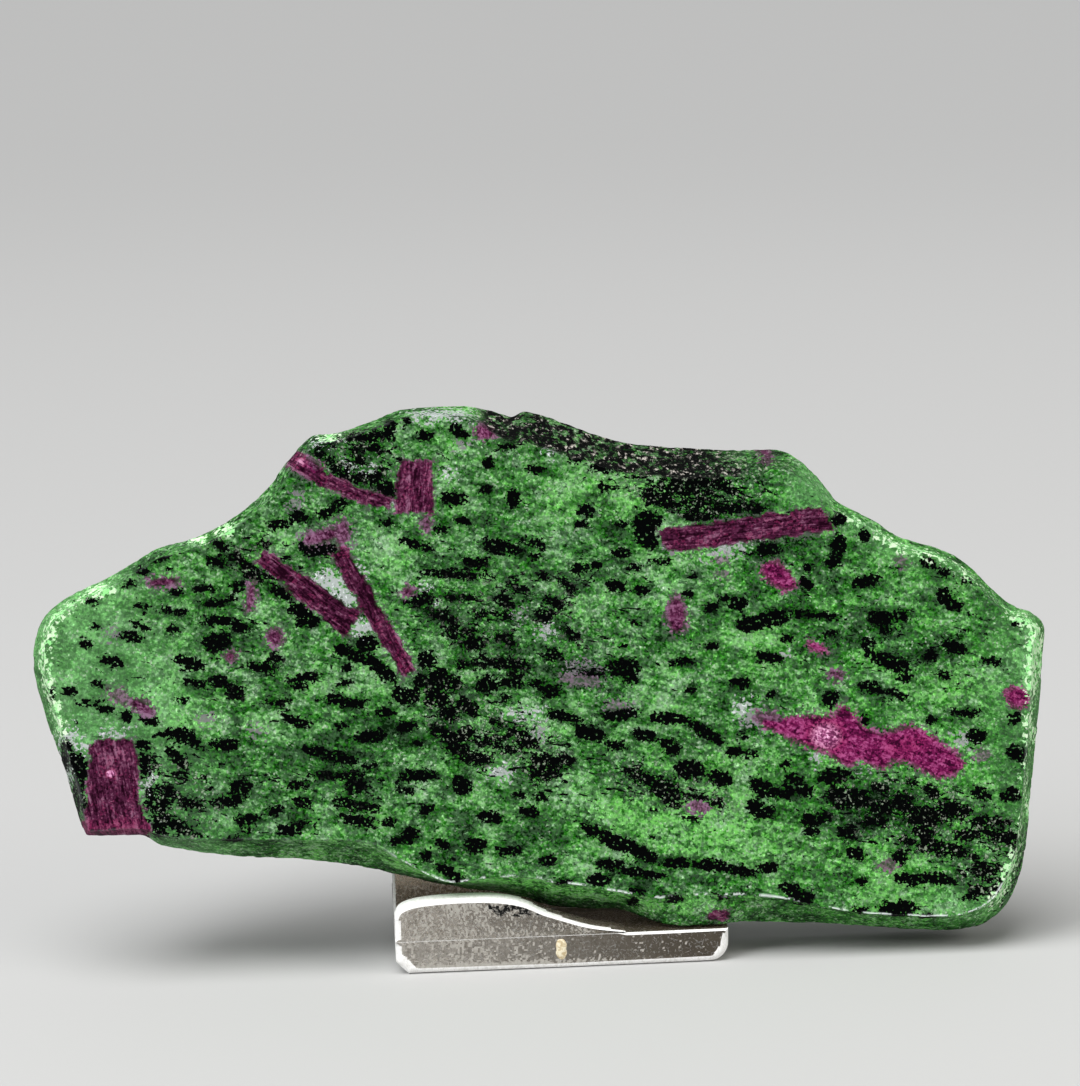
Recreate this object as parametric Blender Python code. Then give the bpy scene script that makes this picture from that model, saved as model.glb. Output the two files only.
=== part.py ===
"""Slab of ruby in zoisite, leaning back on a small clear acrylic stand.

Four pieces, each one closed solid:

* ruby_zoisite_slab - the stone, one natural piece: a flat polished face, a worn and
  partly broken rim, and a flat sawn back;
* stand_base        - the stand's base plate, cut from acrylic sheet;
* stand_front_lip   - the low upright plate along its front, with a wavy top edge;
* stand_back_rest   - the leaning plate that the stone's back rests on.

Metres, +Z up. The origin is the middle of the base plate's underside, the stone's
polished face looks towards -Y, and +X is to the right of someone who faces it.

Slab coordinates are used for the stone and the rest: u runs to the right, v up the
polished face, and w backwards from it, at right angles to it.
"""

import math
from typing import NamedTuple

import bmesh
import bpy
import numpy as np

MM = 0.001

# Driving dimensions
LEAN = math.radians(10.0)       # the stone leans back this far from upright
SLAB_THICKNESS = 15.0 * MM
SHEET = 5.0 * MM                # acrylic sheet that the whole stand is cut from
STAND_WIDTH = 50.0 * MM
STAND_DEPTH = 36.0 * MM
FACE_RISE = 10.4 * MM           # height at which the face's plane passes the stand's front
REST_HEIGHT = 26.0 * MM         # length of the back rest, up its slope
REST_CORNER = 5.0 * MM          # radius of the rest's upper corners
BASE_CHAMFER = 1.8 * MM         # ground corner at the base plate's lower left
BASE_ROUND = 2.8 * MM           # ground round at its lower right
TOUCH_GAP = 0.3 * MM            # clearance kept where two pieces touch

# Detail of the stone's mesh
STATIONS = 280                  # points round the rim
FRONT_RINGS = 4                 # rings from the polished face's edge to the widest ring
BACK_RINGS = 4                  # rings from there to the edge of the sawn back
NORMAL_SMOOTHING = 5.0 * MM     # how far the inset directions are averaged
BEVEL_POWER = 1.15              # 1 is a straight bevel, more is a rounder shoulder
BACK_EDGE = 1.8 * MM            # how far the sawn back's edge stands inside the rim
WORN_HOLLOW = 0.9 * MM          # depth of the hollows in the worn rim
BROKEN_HOLLOW = 2.2 * MM        # and in the broken rind along the top
WORN_REACH = 2.2                # stations over which the worn hollows are averaged
BROKEN_REACH = 0.9              # and the broken ones
ROUGH_FROM, ROUGH_TO = -9.0 * MM, 38.0 * MM     # stretch of the top with a broken rind
ROUGH_ABOVE = 60.0 * MM


class Knot(NamedTuple):
    """One point of the stone's outline, in millimetres of slab coordinates."""

    u: float
    v: float
    bevel: float    # how far the polished face's edge lies inside the outline here
    girth: float    # depth behind the face at which the stone is widest here


# The stone's outline, clockwise from the lower left, as seen from the front.
OUTLINE = [
    # left end: a broken corner, then a worn round end
    Knot(-71.0, 13.2, 1.0, 4), Knot(-72.4, 17.5, 1.4, 5), Knot(-73.5, 22.0, 1.5, 5),
    Knot(-75.6, 28.6, 2.0, 5), Knot(-77.3, 35.0, 2.0, 5), Knot(-77.6, 40.0, 2.0, 5),
    Knot(-76.3, 44.6, 2.0, 5), Knot(-73.5, 47.4, 1.6, 5), Knot(-69.5, 49.5, 1.5, 4),
    # upper left slope
    Knot(-64.4, 51.7, 1.5, 4), Knot(-58.6, 54.9, 1.5, 4), Knot(-52.2, 56.6, 1.5, 4),
    Knot(-46.5, 59.5, 1.5, 4), Knot(-41.6, 63.4, 1.5, 4), Knot(-38.6, 67.2, 1.4, 4),
    Knot(-34.8, 70.9, 1.4, 4), Knot(-30.4, 71.4, 1.2, 4), Knot(-24.0, 73.5, 1.2, 5),
    # crest, then the broken rind that falls away to the right
    Knot(-20.5, 74.6, 1.4, 5), Knot(-12.0, 74.8, 1.8, 6), Knot(-7.4, 74.0, 3.0, 7),
    Knot(-4.6, 73.1, 3.8, 7), Knot(-2.0, 73.7, 4.4, 7), Knot(2.8, 72.1, 4.8, 7),
    Knot(9.0, 69.6, 4.4, 7), Knot(14.4, 68.1, 4.0, 7), Knot(22.0, 67.3, 4.4, 7),
    Knot(30.6, 66.6, 3.8, 6), Knot(35.5, 66.6, 3.0, 6), Knot(39.3, 64.3, 2.4, 5),
    Knot(42.8, 60.2, 2.0, 5), Knot(44.6, 57.9, 1.6, 4),
    # upper right slope and the blunt right corner
    Knot(49.6, 55.2, 1.5, 4), Knot(53.2, 52.6, 1.5, 4), Knot(59.4, 50.5, 1.5, 4),
    Knot(63.4, 48.1, 1.5, 4), Knot(69.0, 42.3, 1.8, 4), Knot(73.0, 40.4, 2.0, 5),
    Knot(75.0, 38.2, 2.2, 5), Knot(74.8, 35.0, 2.4, 5),
    # right end, sawn nearly straight, and the lower right corner
    Knot(73.8, 26.0, 2.2, 5), Knot(72.3, 15.0, 2.0, 5), Knot(71.2, 6.5, 2.2, 5),
    Knot(70.0, 1.0, 2.6, 5), Knot(67.8, -3.7, 3.0, 5), Knot(64.0, -6.6, 3.0, 5),
    # underside: the right part hangs past the stand, then comes the foot it stands on
    Knot(58.5, -7.4, 2.6, 5), Knot(50.0, -6.7, 2.4, 5), Knot(41.0, -5.7, 2.6, 5),
    Knot(33.0, -5.1, 4.0, 5), Knot(27.4, -4.6, 4.3, 3), Knot(22.0, -4.8, 4.7, 2),
    Knot(16.6, -4.6, 4.5, 2.2), Knot(12.8, -3.6, 3.6, 4), Knot(8.6, -2.2, 3.0, 6.5),
    Knot(3.0, -2.0, 4.1, 8), Knot(-1.5, -1.4, 4.1, 8), Knot(-5.0, -0.1, 3.8, 8),
    Knot(-9.5, 1.0, 2.9, 8), Knot(-13.0, 1.5, 2.1, 8), Knot(-17.5, 2.5, 1.0, 8),
    # left part of the underside, up to the ruby crystal that ends it
    Knot(-24.0, 4.2, 2.6, 8), Knot(-30.0, 5.8, 4.2, 7), Knot(-38.5, 7.3, 3.3, 6),
    Knot(-48.0, 8.1, 3.0, 6), Knot(-55.0, 9.2, 2.2, 6), Knot(-59.6, 10.4, 1.8, 5),
    Knot(-62.5, 12.0, 1.2, 4), Knot(-69.7, 12.2, 1.0, 4),
]

# Top edge of the front lip: (x, height above the base plate), in millimetres.
LIP_TOP = [
    (-25.0, 3.6), (-24.2, 4.9), (-22.0, 5.7), (-18.0, 6.1), (-12.5, 6.15), (-8.5, 5.8),
    (-5.5, 5.0), (-2.5, 3.5), (0.5, 2.4), (4.5, 1.25), (9.5, 0.5),
]
LIP_POINTS = 33                 # points along the lip's top edge


def slab_to_world(u, v, w):
    """World coordinates of slab coordinates, as an array with a last axis of 3."""
    y = -STAND_DEPTH / 2 + v * math.sin(LEAN) + w * math.cos(LEAN)
    z = FACE_RISE + v * math.cos(LEAN) - w * math.sin(LEAN)
    return np.stack(np.broadcast_arrays(u, y, z), axis=-1)


def height_on_face(z, w):
    """The v at which slab coordinates reach the world height z, at depth w."""
    return (z - FACE_RISE + w * math.sin(LEAN)) / math.cos(LEAN)


def smooth_curve(knots, count, closed):
    """Points at even distances along a Catmull-Rom curve through rows of knots.

    The first two columns are the place; the others are carried along with it.
    """
    rows = np.asarray(knots, dtype=float)
    if closed:
        padded = np.vstack([rows[-1], rows, rows[0], rows[1]])
    else:
        padded = np.vstack([2 * rows[0] - rows[1], rows, 2 * rows[-1] - rows[-2]])
    steps = 16
    t = np.arange(steps)[:, None] / steps
    p0, p1, p2, p3 = (padded[i:len(padded) - 3 + i, None, :] for i in range(4))
    fine = 0.5 * (
        2 * p1
        + (p2 - p0) * t
        + (2 * p0 - 5 * p1 + 4 * p2 - p3) * t ** 2
        + (3 * p1 - p0 - 3 * p2 + p3) * t ** 3
    )
    fine = fine.reshape(-1, rows.shape[1])
    fine = np.vstack([fine, fine[0] if closed else rows[-1]])
    run = np.hypot(*np.diff(fine[:, :2], axis=0).T)
    along = np.concatenate([[0.0], np.cumsum(run)])
    wanted = np.linspace(0.0, along[-1], count, endpoint=not closed)
    columns = [np.interp(wanted, along, column) for column in fine.T]
    return np.stack(columns, axis=1)


def circular_smooth(values, radius):
    """Gaussian average of each row with its neighbours round a closed ring."""
    reach = range(-math.ceil(2.5 * radius), math.ceil(2.5 * radius) + 1)
    weights = [math.exp(-0.5 * (k / radius) ** 2) for k in reach]
    total = sum(weight * np.roll(values, k, axis=0) for k, weight in zip(reach, weights))
    return total / sum(weights)


def outward_directions(ring, smoothing):
    """Unit directions out of a clockwise closed ring, averaged over a distance."""
    spacing = np.hypot(*np.diff(ring, axis=0).T).mean()
    soft = circular_smooth(ring, smoothing / spacing / 2)
    along = np.roll(soft, -1, axis=0) - np.roll(soft, 1, axis=0)
    out = np.stack([-along[:, 1], along[:, 0]], axis=1)
    return out / np.linalg.norm(out, axis=1, keepdims=True)


def rim_relief(seed, rings, reach):
    """Random hollows, 0 to 1 deep: one column per ring, averaged round and across."""
    raw = np.random.default_rng(seed).standard_normal((STATIONS, rings + 1))
    soft = circular_smooth(raw[:, 1:] + raw[:, :-1], reach)
    return np.clip(0.5 + 0.28 * soft / soft.std(), 0.0, 1.0)


def stone_rings():
    """Closed rings of world points, from the face's edge to the sawn back's edge.

    Each ring is the outline moved inwards. In front of the widest ring the inset falls
    from the bevel's width to nothing, and behind it it grows again towards the back.
    Random hollows deepen it, shallow where the rim is worn and deep where it is broken.
    """
    rim = smooth_curve(OUTLINE, STATIONS, closed=True) * MM
    place, bevel, girth = rim[:, :2], rim[:, 2], rim[:, 3]
    out = outward_directions(place, NORMAL_SMOOTHING)
    u, v = place.T
    broken = ((u > ROUGH_FROM) & (u < ROUGH_TO) & (v > ROUGH_ABOVE)).astype(float)
    broken = circular_smooth(broken, 2)
    worn_hollows = WORN_HOLLOW * rim_relief(11, FRONT_RINGS + BACK_RINGS + 1, WORN_REACH)
    deep_hollows = BROKEN_HOLLOW * rim_relief(12, FRONT_RINGS + BACK_RINGS + 1, BROKEN_REACH)

    lowest = SHEET + TOUCH_GAP
    over_stand = np.abs(u) < STAND_WIDTH / 2 + 2 * MM
    rings = []
    for k in range(FRONT_RINGS + BACK_RINGS + 1):
        if k <= FRONT_RINGS:
            share = k / FRONT_RINGS
            inset = bevel * (1 - share) ** BEVEL_POWER
            w = girth * share
            worn_share = 0.6 * math.sin(math.pi * share)
            broken_share = 0.5 * (1 + math.sin(math.pi * share)) * (1 - 0.8 * share)
        else:
            share = (k - FRONT_RINGS) / BACK_RINGS
            inset = BACK_EDGE * share ** 2
            w = girth + (SLAB_THICKNESS - girth) * share
            worn_share = broken_share = math.sin(math.pi * (0.15 + 0.7 * share))
        hollow = (
            worn_share * worn_hollows[:, k] * (1 - broken)
            + broken_share * deep_hollows[:, k] * broken
        )
        edge = place - out * (inset + hollow)[:, None]
        floor = np.where(over_stand, height_on_face(lowest, w), -np.inf)
        rings.append(slab_to_world(edge[:, 0], np.maximum(edge[:, 1], floor), w))
    return rings


def new_object(name, mesh_builder, colour, roughness, **shader):
    """An object with its own material, from a filled-in bmesh."""
    mesh = bpy.data.meshes.new(name)
    mesh_builder.to_mesh(mesh)
    mesh_builder.free()
    piece = bpy.data.objects.new(name, mesh)
    bpy.context.scene.collection.objects.link(piece)
    material = bpy.data.materials.new(name)
    material.use_nodes = True
    sockets = material.node_tree.nodes["Principled BSDF"].inputs
    sockets["Base Color"].default_value = (*colour, 1.0)
    sockets["Roughness"].default_value = roughness
    for socket, value in shader.items():
        sockets[socket.replace("_", " ")].default_value = value
    mesh.materials.append(material)
    return piece


def loft(rings):
    """A closed bmesh from rings of equal length: side walls and two end faces."""
    work = bmesh.new()
    levels = [[work.verts.new(point) for point in ring] for ring in rings]
    for lower, upper in zip(levels, levels[1:]):
        for i in range(len(lower)):
            j = (i + 1) % len(lower)
            work.faces.new((lower[i], lower[j], upper[j], upper[i]))
    work.faces.new(reversed(levels[0]))
    work.faces.new(levels[-1])
    bmesh.ops.triangulate(work, faces=work.faces[:])
    bmesh.ops.recalc_face_normals(work, faces=work.faces[:])
    return work


def arc(centre, radius, start, end, steps):
    """Points of an arc, with angles in degrees."""
    angles = np.radians(np.linspace(start, end, steps + 1))
    return [(centre[0] + radius * math.cos(a), centre[1] + radius * math.sin(a)) for a in angles]


def plate_across(outline, front, back):
    """A bmesh of an outline in X and Z, carried from one Y to another."""
    return loft([[(x, y, z) for x, z in outline] for y in (front, back)])


def make_slab():
    """The stone, with the colour of its zoisite."""
    slab = new_object(
        "ruby_zoisite_slab", loft(stone_rings()), colour=(0.09, 0.24, 0.07), roughness=0.25)
    slab.data.shade_smooth()
    slab.data.set_sharp_from_angle(angle=math.radians(28))
    return slab


ACRYLIC = {
    "colour": (0.86, 0.85, 0.83), "roughness": 0.12, "Transmission_Weight": 1.0, "IOR": 1.49}


def make_base():
    """Base plate: a rectangle with its two lower corners ground off."""
    half = STAND_WIDTH / 2
    outline = [(-half, SHEET), (-half, BASE_CHAMFER), (-half + BASE_CHAMFER, 0.0)]
    outline += arc((half - BASE_ROUND, BASE_ROUND), BASE_ROUND, -90, 0, 6)
    outline.append((half, SHEET))
    front = -STAND_DEPTH / 2
    return new_object("stand_base", plate_across(outline, front, front + STAND_DEPTH), **ACRYLIC)


def make_front_lip():
    """Front lip: one sheet thick, standing on the base plate's front edge."""
    foot = SHEET + TOUCH_GAP
    top = [(x, SHEET + z) for x, z in smooth_curve(LIP_TOP, LIP_POINTS, closed=False) * MM]
    outline = [(top[0][0], foot)] + top + [(top[-1][0], foot)]
    front = -STAND_DEPTH / 2
    return new_object("stand_front_lip", plate_across(outline, front, front + SHEET), **ACRYLIC)


def make_back_rest():
    """Back rest: leans with the stone, its foot cut level to stand on the base."""
    half = STAND_WIDTH / 2
    near = SLAB_THICKNESS + TOUCH_GAP
    foot = SHEET + TOUCH_GAP
    rings = []
    for w in (near, near + SHEET):
        low = height_on_face(foot, w)
        high = height_on_face(foot, near) + REST_HEIGHT
        shape = arc((half - REST_CORNER, high - REST_CORNER), REST_CORNER, 0, 90, 6)
        shape += arc((REST_CORNER - half, high - REST_CORNER), REST_CORNER, 90, 180, 6)
        shape = [(half, low)] + shape + [(-half, low)]
        rings.append(slab_to_world(*np.array(shape).T, w))
    return new_object("stand_back_rest", loft(rings), **ACRYLIC)


def main():
    """Clear the scene and make the four pieces."""
    for old in list(bpy.data.objects):
        bpy.data.objects.remove(old, do_unlink=True)
    make_slab()
    make_base()
    make_front_lip()
    make_back_rest()


main()
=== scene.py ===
"""Looks of the ruby-in-zoisite slab and of the small clear acrylic stand it leans on.

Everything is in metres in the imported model's own frame. The stone is worked out in slab
coordinates in millimetres: u to the right, v up the polished face, w back from it.
"""

import itertools
import logging
import math
from dataclasses import dataclass
from enum import Enum, IntEnum
from functools import partial, reduce
from typing import Callable, Sequence

import bpy
import numpy as np
from mathutils import Matrix, Vector


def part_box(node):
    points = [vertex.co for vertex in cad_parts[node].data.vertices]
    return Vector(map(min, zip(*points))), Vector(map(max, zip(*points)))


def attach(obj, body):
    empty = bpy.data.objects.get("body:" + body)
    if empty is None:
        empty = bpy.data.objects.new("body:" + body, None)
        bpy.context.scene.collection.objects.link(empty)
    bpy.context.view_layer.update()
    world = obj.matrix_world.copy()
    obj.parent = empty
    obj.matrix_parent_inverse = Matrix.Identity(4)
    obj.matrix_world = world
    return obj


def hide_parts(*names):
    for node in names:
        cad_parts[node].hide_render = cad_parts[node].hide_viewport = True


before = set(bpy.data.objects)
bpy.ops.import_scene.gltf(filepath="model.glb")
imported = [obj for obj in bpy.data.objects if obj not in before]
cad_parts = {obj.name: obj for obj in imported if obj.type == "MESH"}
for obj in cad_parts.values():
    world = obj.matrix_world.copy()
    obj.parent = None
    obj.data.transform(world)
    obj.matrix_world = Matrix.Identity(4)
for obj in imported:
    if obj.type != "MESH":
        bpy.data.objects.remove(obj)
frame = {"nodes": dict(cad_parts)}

log = logging.getLogger("ruby_in_zoisite")

MM = 0.001

Array = np.ndarray
Material = bpy.types.Material
Piece = bpy.types.Object
Socket = bpy.types.NodeSocket
Rows = Sequence[tuple[float, ...]]
Colour = tuple[float, float, float]
Tones = tuple[Colour, ...]
Shape = Callable[[Array, Array, Array], Array]
Field = Callable[[Array, Array], Array]
Value = Socket | Colour | float

# The stone's outline, clockwise from the lower left: u, v, then how far the polished face's
# edge lies inside it, and the depth at which the stone is widest there.
OUTLINE = (
    (-71, 13.2, 1, 4), (-72.4, 17.5, 1.4, 5), (-73.5, 22, 1.5, 5), (-75.6, 28.6, 2, 5),
    (-77.3, 35, 2, 5), (-77.6, 40, 2, 5), (-76.3, 44.6, 2, 5), (-73.5, 47.4, 1.6, 5),
    (-69.5, 49.5, 1.5, 4), (-64.4, 51.7, 1.5, 4), (-58.6, 54.9, 1.5, 4), (-52.2, 56.6, 1.5, 4),
    (-46.5, 59.5, 1.5, 4), (-41.6, 63.4, 1.5, 4), (-38.6, 67.2, 1.4, 4), (-34.8, 70.9, 1.4, 4),
    (-30.4, 71.4, 1.2, 4), (-24, 73.5, 1.2, 5), (-20.5, 74.6, 1.4, 5), (-12, 74.8, 1.8, 6),
    (-7.4, 74, 3, 7), (-4.6, 73.1, 3.8, 7), (-2, 73.7, 4.4, 7), (2.8, 72.1, 4.8, 7),
    (9, 69.6, 4.4, 7), (14.4, 68.1, 4, 7), (22, 67.3, 4.4, 7), (30.6, 66.6, 3.8, 6),
    (35.5, 66.6, 3, 6), (39.3, 64.3, 2.4, 5), (42.8, 60.2, 2, 5), (44.6, 57.9, 1.6, 4),
    (49.6, 55.2, 1.5, 4), (53.2, 52.6, 1.5, 4), (59.4, 50.5, 1.5, 4), (63.4, 48.1, 1.5, 4),
    (69, 42.3, 1.8, 4), (73, 40.4, 2, 5), (75, 38.2, 2.2, 5), (74.8, 35, 2.4, 5),
    (73.8, 26, 2.2, 5), (72.3, 15, 2, 5), (71.2, 6.5, 2.2, 5), (70, 1, 2.6, 5),
    (67.8, -3.7, 3, 5), (64, -6.6, 3, 5), (58.5, -7.4, 2.6, 5), (50, -6.7, 2.4, 5),
    (41, -5.7, 2.6, 5), (33, -5.1, 4, 5), (27.4, -4.6, 4.3, 3), (22, -4.8, 4.7, 2),
    (16.6, -4.6, 4.5, 2.2), (12.8, -3.6, 3.6, 4), (8.6, -2.2, 3, 6.5), (3, -2, 4.1, 8),
    (-1.5, -1.4, 4.1, 8), (-5, -0.1, 3.8, 8), (-9.5, 1, 2.9, 8), (-13, 1.5, 2.1, 8),
    (-17.5, 2.5, 1, 8), (-24, 4.2, 2.6, 8), (-30, 5.8, 4.2, 7), (-38.5, 7.3, 3.3, 6),
    (-48, 8.1, 3, 6), (-55, 9.2, 2.2, 6), (-59.6, 10.4, 1.8, 5), (-62.5, 12, 1.2, 4),
    (-69.7, 12.2, 1, 4),
)
CORNERS = ((-71, 13.2), (-75.2, 46.2), (75, 38.6), (67.8, -3.7))

# Top edge of the front lip: x, then the height above the base plate.
LIP_TOP = (
    (-25, 3.6), (-24.2, 4.9), (-22, 5.7), (-18, 6.1), (-12.5, 6.15), (-8.5, 5.8),
    (-5.5, 5), (-2.5, 3.5), (0.5, 2.4), (4.5, 1.15), (9.5, 0.26),
)

# Grains of black hornblende on the polished face, region by region from the left end to the
# centre: u, v, length, width, tilt in degrees.
HORNBLENDE_LEFT = (
    (-68.1, 47.6, 1.8, 0.6, 5), (-60.5, 51.6, 1.5, 0.7, -20), (-58, 53.3, 2.2, 0.4, 8),
    (-62.7, 49.8, 1, 0.4, 0), (-60.9, 46.5, 1.4, 0.4, -20), (-61.2, 43.7, 1.9, 0.35, -22),
    (-56.2, 45.5, 2.3, 0.4, -14), (-56.4, 42.7, 1.4, 1, 0), (-62.6, 41.8, 3, 0.8, -15),
    (-69.3, 41.1, 1.3, 0.6, -15), (-67.7, 43.7, 0.8, 0.5, 0), (-65.7, 38.4, 3.3, 1.1, -12),
    (-67.6, 35.2, 1, 0.5, 0), (-72.1, 34.2, 1.6, 0.8, 0), (-69.1, 32.4, 2, 0.3, -5),
    (-66.7, 31.3, 2, 0.8, -10), (-63.8, 30.1, 1.4, 1.2, 0), (-60.3, 29.6, 2.6, 1.2, -25),
    (-74.8, 34, 1.8, 0.8, 80), (-51.4, 48.8, 2.6, 0.8, -5), (-46.5, 48.7, 2, 1.1, -15),
    (-55.7, 48.5, 1.6, 0.8, -20), (-50.2, 46.4, 2.8, 0.6, 0), (-47.5, 47, 0.7, 0.5, 0),
    (-49.2, 43.8, 4.6, 0.9, -5), (-46.1, 42.7, 2.3, 0.8, -8), (-49.9, 40.6, 4, 2.4, 0),
    (-54.1, 37.9, 4, 1.3, -20), (-43.6, 36.6, 4, 0.9, -14), (-41.4, 37.9, 1.8, 0.9, -10),
    (-53.3, 34.6, 2.6, 0.6, -15), (-49.7, 34.9, 3, 1.2, -25), (-47.5, 33.2, 2.8, 1.8, -35),
    (-36.9, 34.8, 3.8, 1, 8), (-38, 33.8, 2, 0.6, 0), (-41.3, 31.3, 2.4, 0.6, -8),
    (-38.5, 28.4, 3.8, 1, -22), (-55.6, 26.8, 3.6, 1.4, -15), (-53.7, 25.7, 2.2, 0.6, -30),
    (-57, 27.4, 3, 0.4, 0), (-49.2, 25.3, 3.6, 1.2, 0), (-56.6, 23.8, 4.2, 1.2, -45),
    (-35.8, 23.9, 3.3, 1.2, -17), (-61.5, 25.7, 1.8, 1.2, -20), (-61.3, 23.5, 1.5, 1.6, 0),
    (-56.5, 21.2, 1.2, 1, 0), (-47.2, 18.9, 3, 2, 0), (-49.2, 16.9, 4.2, 1.2, 0),
    (-38, 16.3, 2.2, 1.1, -8), (-38.5, 18.9, 2, 0.8, 0), (-58, 18.6, 3.6, 1.4, -25),
    (-59, 16.6, 2.4, 2, -60), (-58.6, 14.6, 2, 1.2, -30), (-54.6, 16.7, 3, 1.2, -20),
    (-56.3, 13.4, 3.6, 1.6, -35), (-46.3, 14, 3, 1, 3), (-42, 15.2, 1.6, 0.5, 0),
    (-40.8, 12.2, 2, 1.2, 0), (-38.7, 12.8, 1.6, 0.6, 0), (-46.4, 12.4, 1, 0.6, 0),
    (-48.6, 10.9, 2, 0.6, 0), (-70.6, 22.4, 2, 2.2, 0), (-72.4, 23, 1.2, 1, 60),
    (-71.9, 19.5, 1.4, 1.6, 70), (-71.2, 16.2, 1.6, 1.6, 60), (-70.8, 14, 1, 1.2, 0),
    (-48.8, 55.1, 2.6, 1.2, -35), (-45.9, 52.5, 3.6, 1.3, -45), (-49.5, 52.6, 2.6, 1.2, -10),
    (-44, 50.5, 3.2, 1.6, -35), (-42.3, 54.8, 1.5, 0.9, 0), (-40.1, 57.8, 3, 0.9, 0),
    (-40.3, 47.8, 3.2, 1, -30), (-37.4, 44.9, 3, 1.6, -10), (-36.1, 43.2, 3.2, 1.3, 5),
)
HORNBLENDE_CREST = (
    (-17.7, 70.2, 2.2, 1.1, -15), (-20.4, 72.7, 0.8, 0.8, 0), (-27.7, 67, 1.4, 1.3, 0),
    (-30.1, 64.9, 1.6, 1.6, 0), (-27.9, 64.1, 4.6, 0.6, -15), (-23.5, 61.8, 1.6, 1, 0),
    (-19, 66.4, 0.9, 0.7, 0), (-13.8, 60.7, 3.6, 1.7, -5), (-9, 61.9, 1.6, 0.7, 0),
    (-8.4, 65.8, 1.8, 1.2, -20), (-1.3, 64.7, 2.3, 0.9, -12), (-4.9, 60.4, 1.6, 2.2, 0),
    (8.8, 61.5, 1.2, 1.1, 0), (-30.7, 60.6, 2, 1, 20), (-32.7, 59.4, 2.6, 1, 15),
    (-36.9, 58.9, 2.4, 1.1, -15), (-23.9, 57.4, 1.6, 0.5, 0), (-15.9, 56.2, 1.7, 0.8, -10),
    (-12.3, 57.3, 2, 0.7, -15), (-20.8, 54.5, 2.2, 0.8, -15), (-18.3, 53.6, 2, 0.8, -15),
    (-7.7, 53.4, 4, 1.8, -12), (-5.1, 52.7, 2.2, 0.7, -12), (-2.1, 53.6, 2.9, 0.6, -10),
    (-10.8, 50.9, 3.6, 1.1, -12), (-14.3, 49.4, 8, 0.9, -6), (-18.7, 45.9, 1.8, 1.6, 0),
    (-20.2, 45.6, 3, 0.7, -5), (-13.4, 45.9, 3.8, 0.55, 0), (-10.4, 43.5, 1.7, 1, -10),
    (-7, 45.7, 2.2, 0.8, -15), (-4.6, 47.2, 3, 0.7, -20), (-1.8, 51.6, 1.4, 0.5, 0),
    (2.8, 47, 2.8, 0.8, -42), (0.8, 44.5, 3.2, 1.2, -30), (9.9, 46.8, 2.4, 1.2, -10),
    (11, 51.5, 2.2, 1.2, -10), (14.5, 54.7, 2.2, 3.4, 0), (7.1, 49.9, 1.2, 0.7, 0),
    (12.8, 49.4, 1.6, 0.5, -10), (5.9, 58.2, 2, 1, -10), (5.1, 56.2, 1.2, 0.6, 0),
    (10.9, 55.8, 1.2, 0.6, 0), (4.5, 49.5, 2, 1, -10), (-1, 48.6, 1.2, 0.5, 0),
    (-34.5, 54.2, 5.5, 2.2, -5), (-31.5, 70, 2, 1, 0), (-26, 72.5, 1.5, 0.7, 0),
    (-5.2, 68.1, 2.4, 0.5, 0), (-3, 70, 4, 1.6, -20), (1.8, 68.7, 4, 1.8, -20), (5, 66.3, 2.2, 1.5, 0),
    (10.8, 64.7, 7, 1.4, 0), (12.6, 67.3, 3, 1, 0), (21.5, 62.5, 6, 3.2, -20),
    (17.3, 59, 2.8, 1.1, -10),
)
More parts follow.
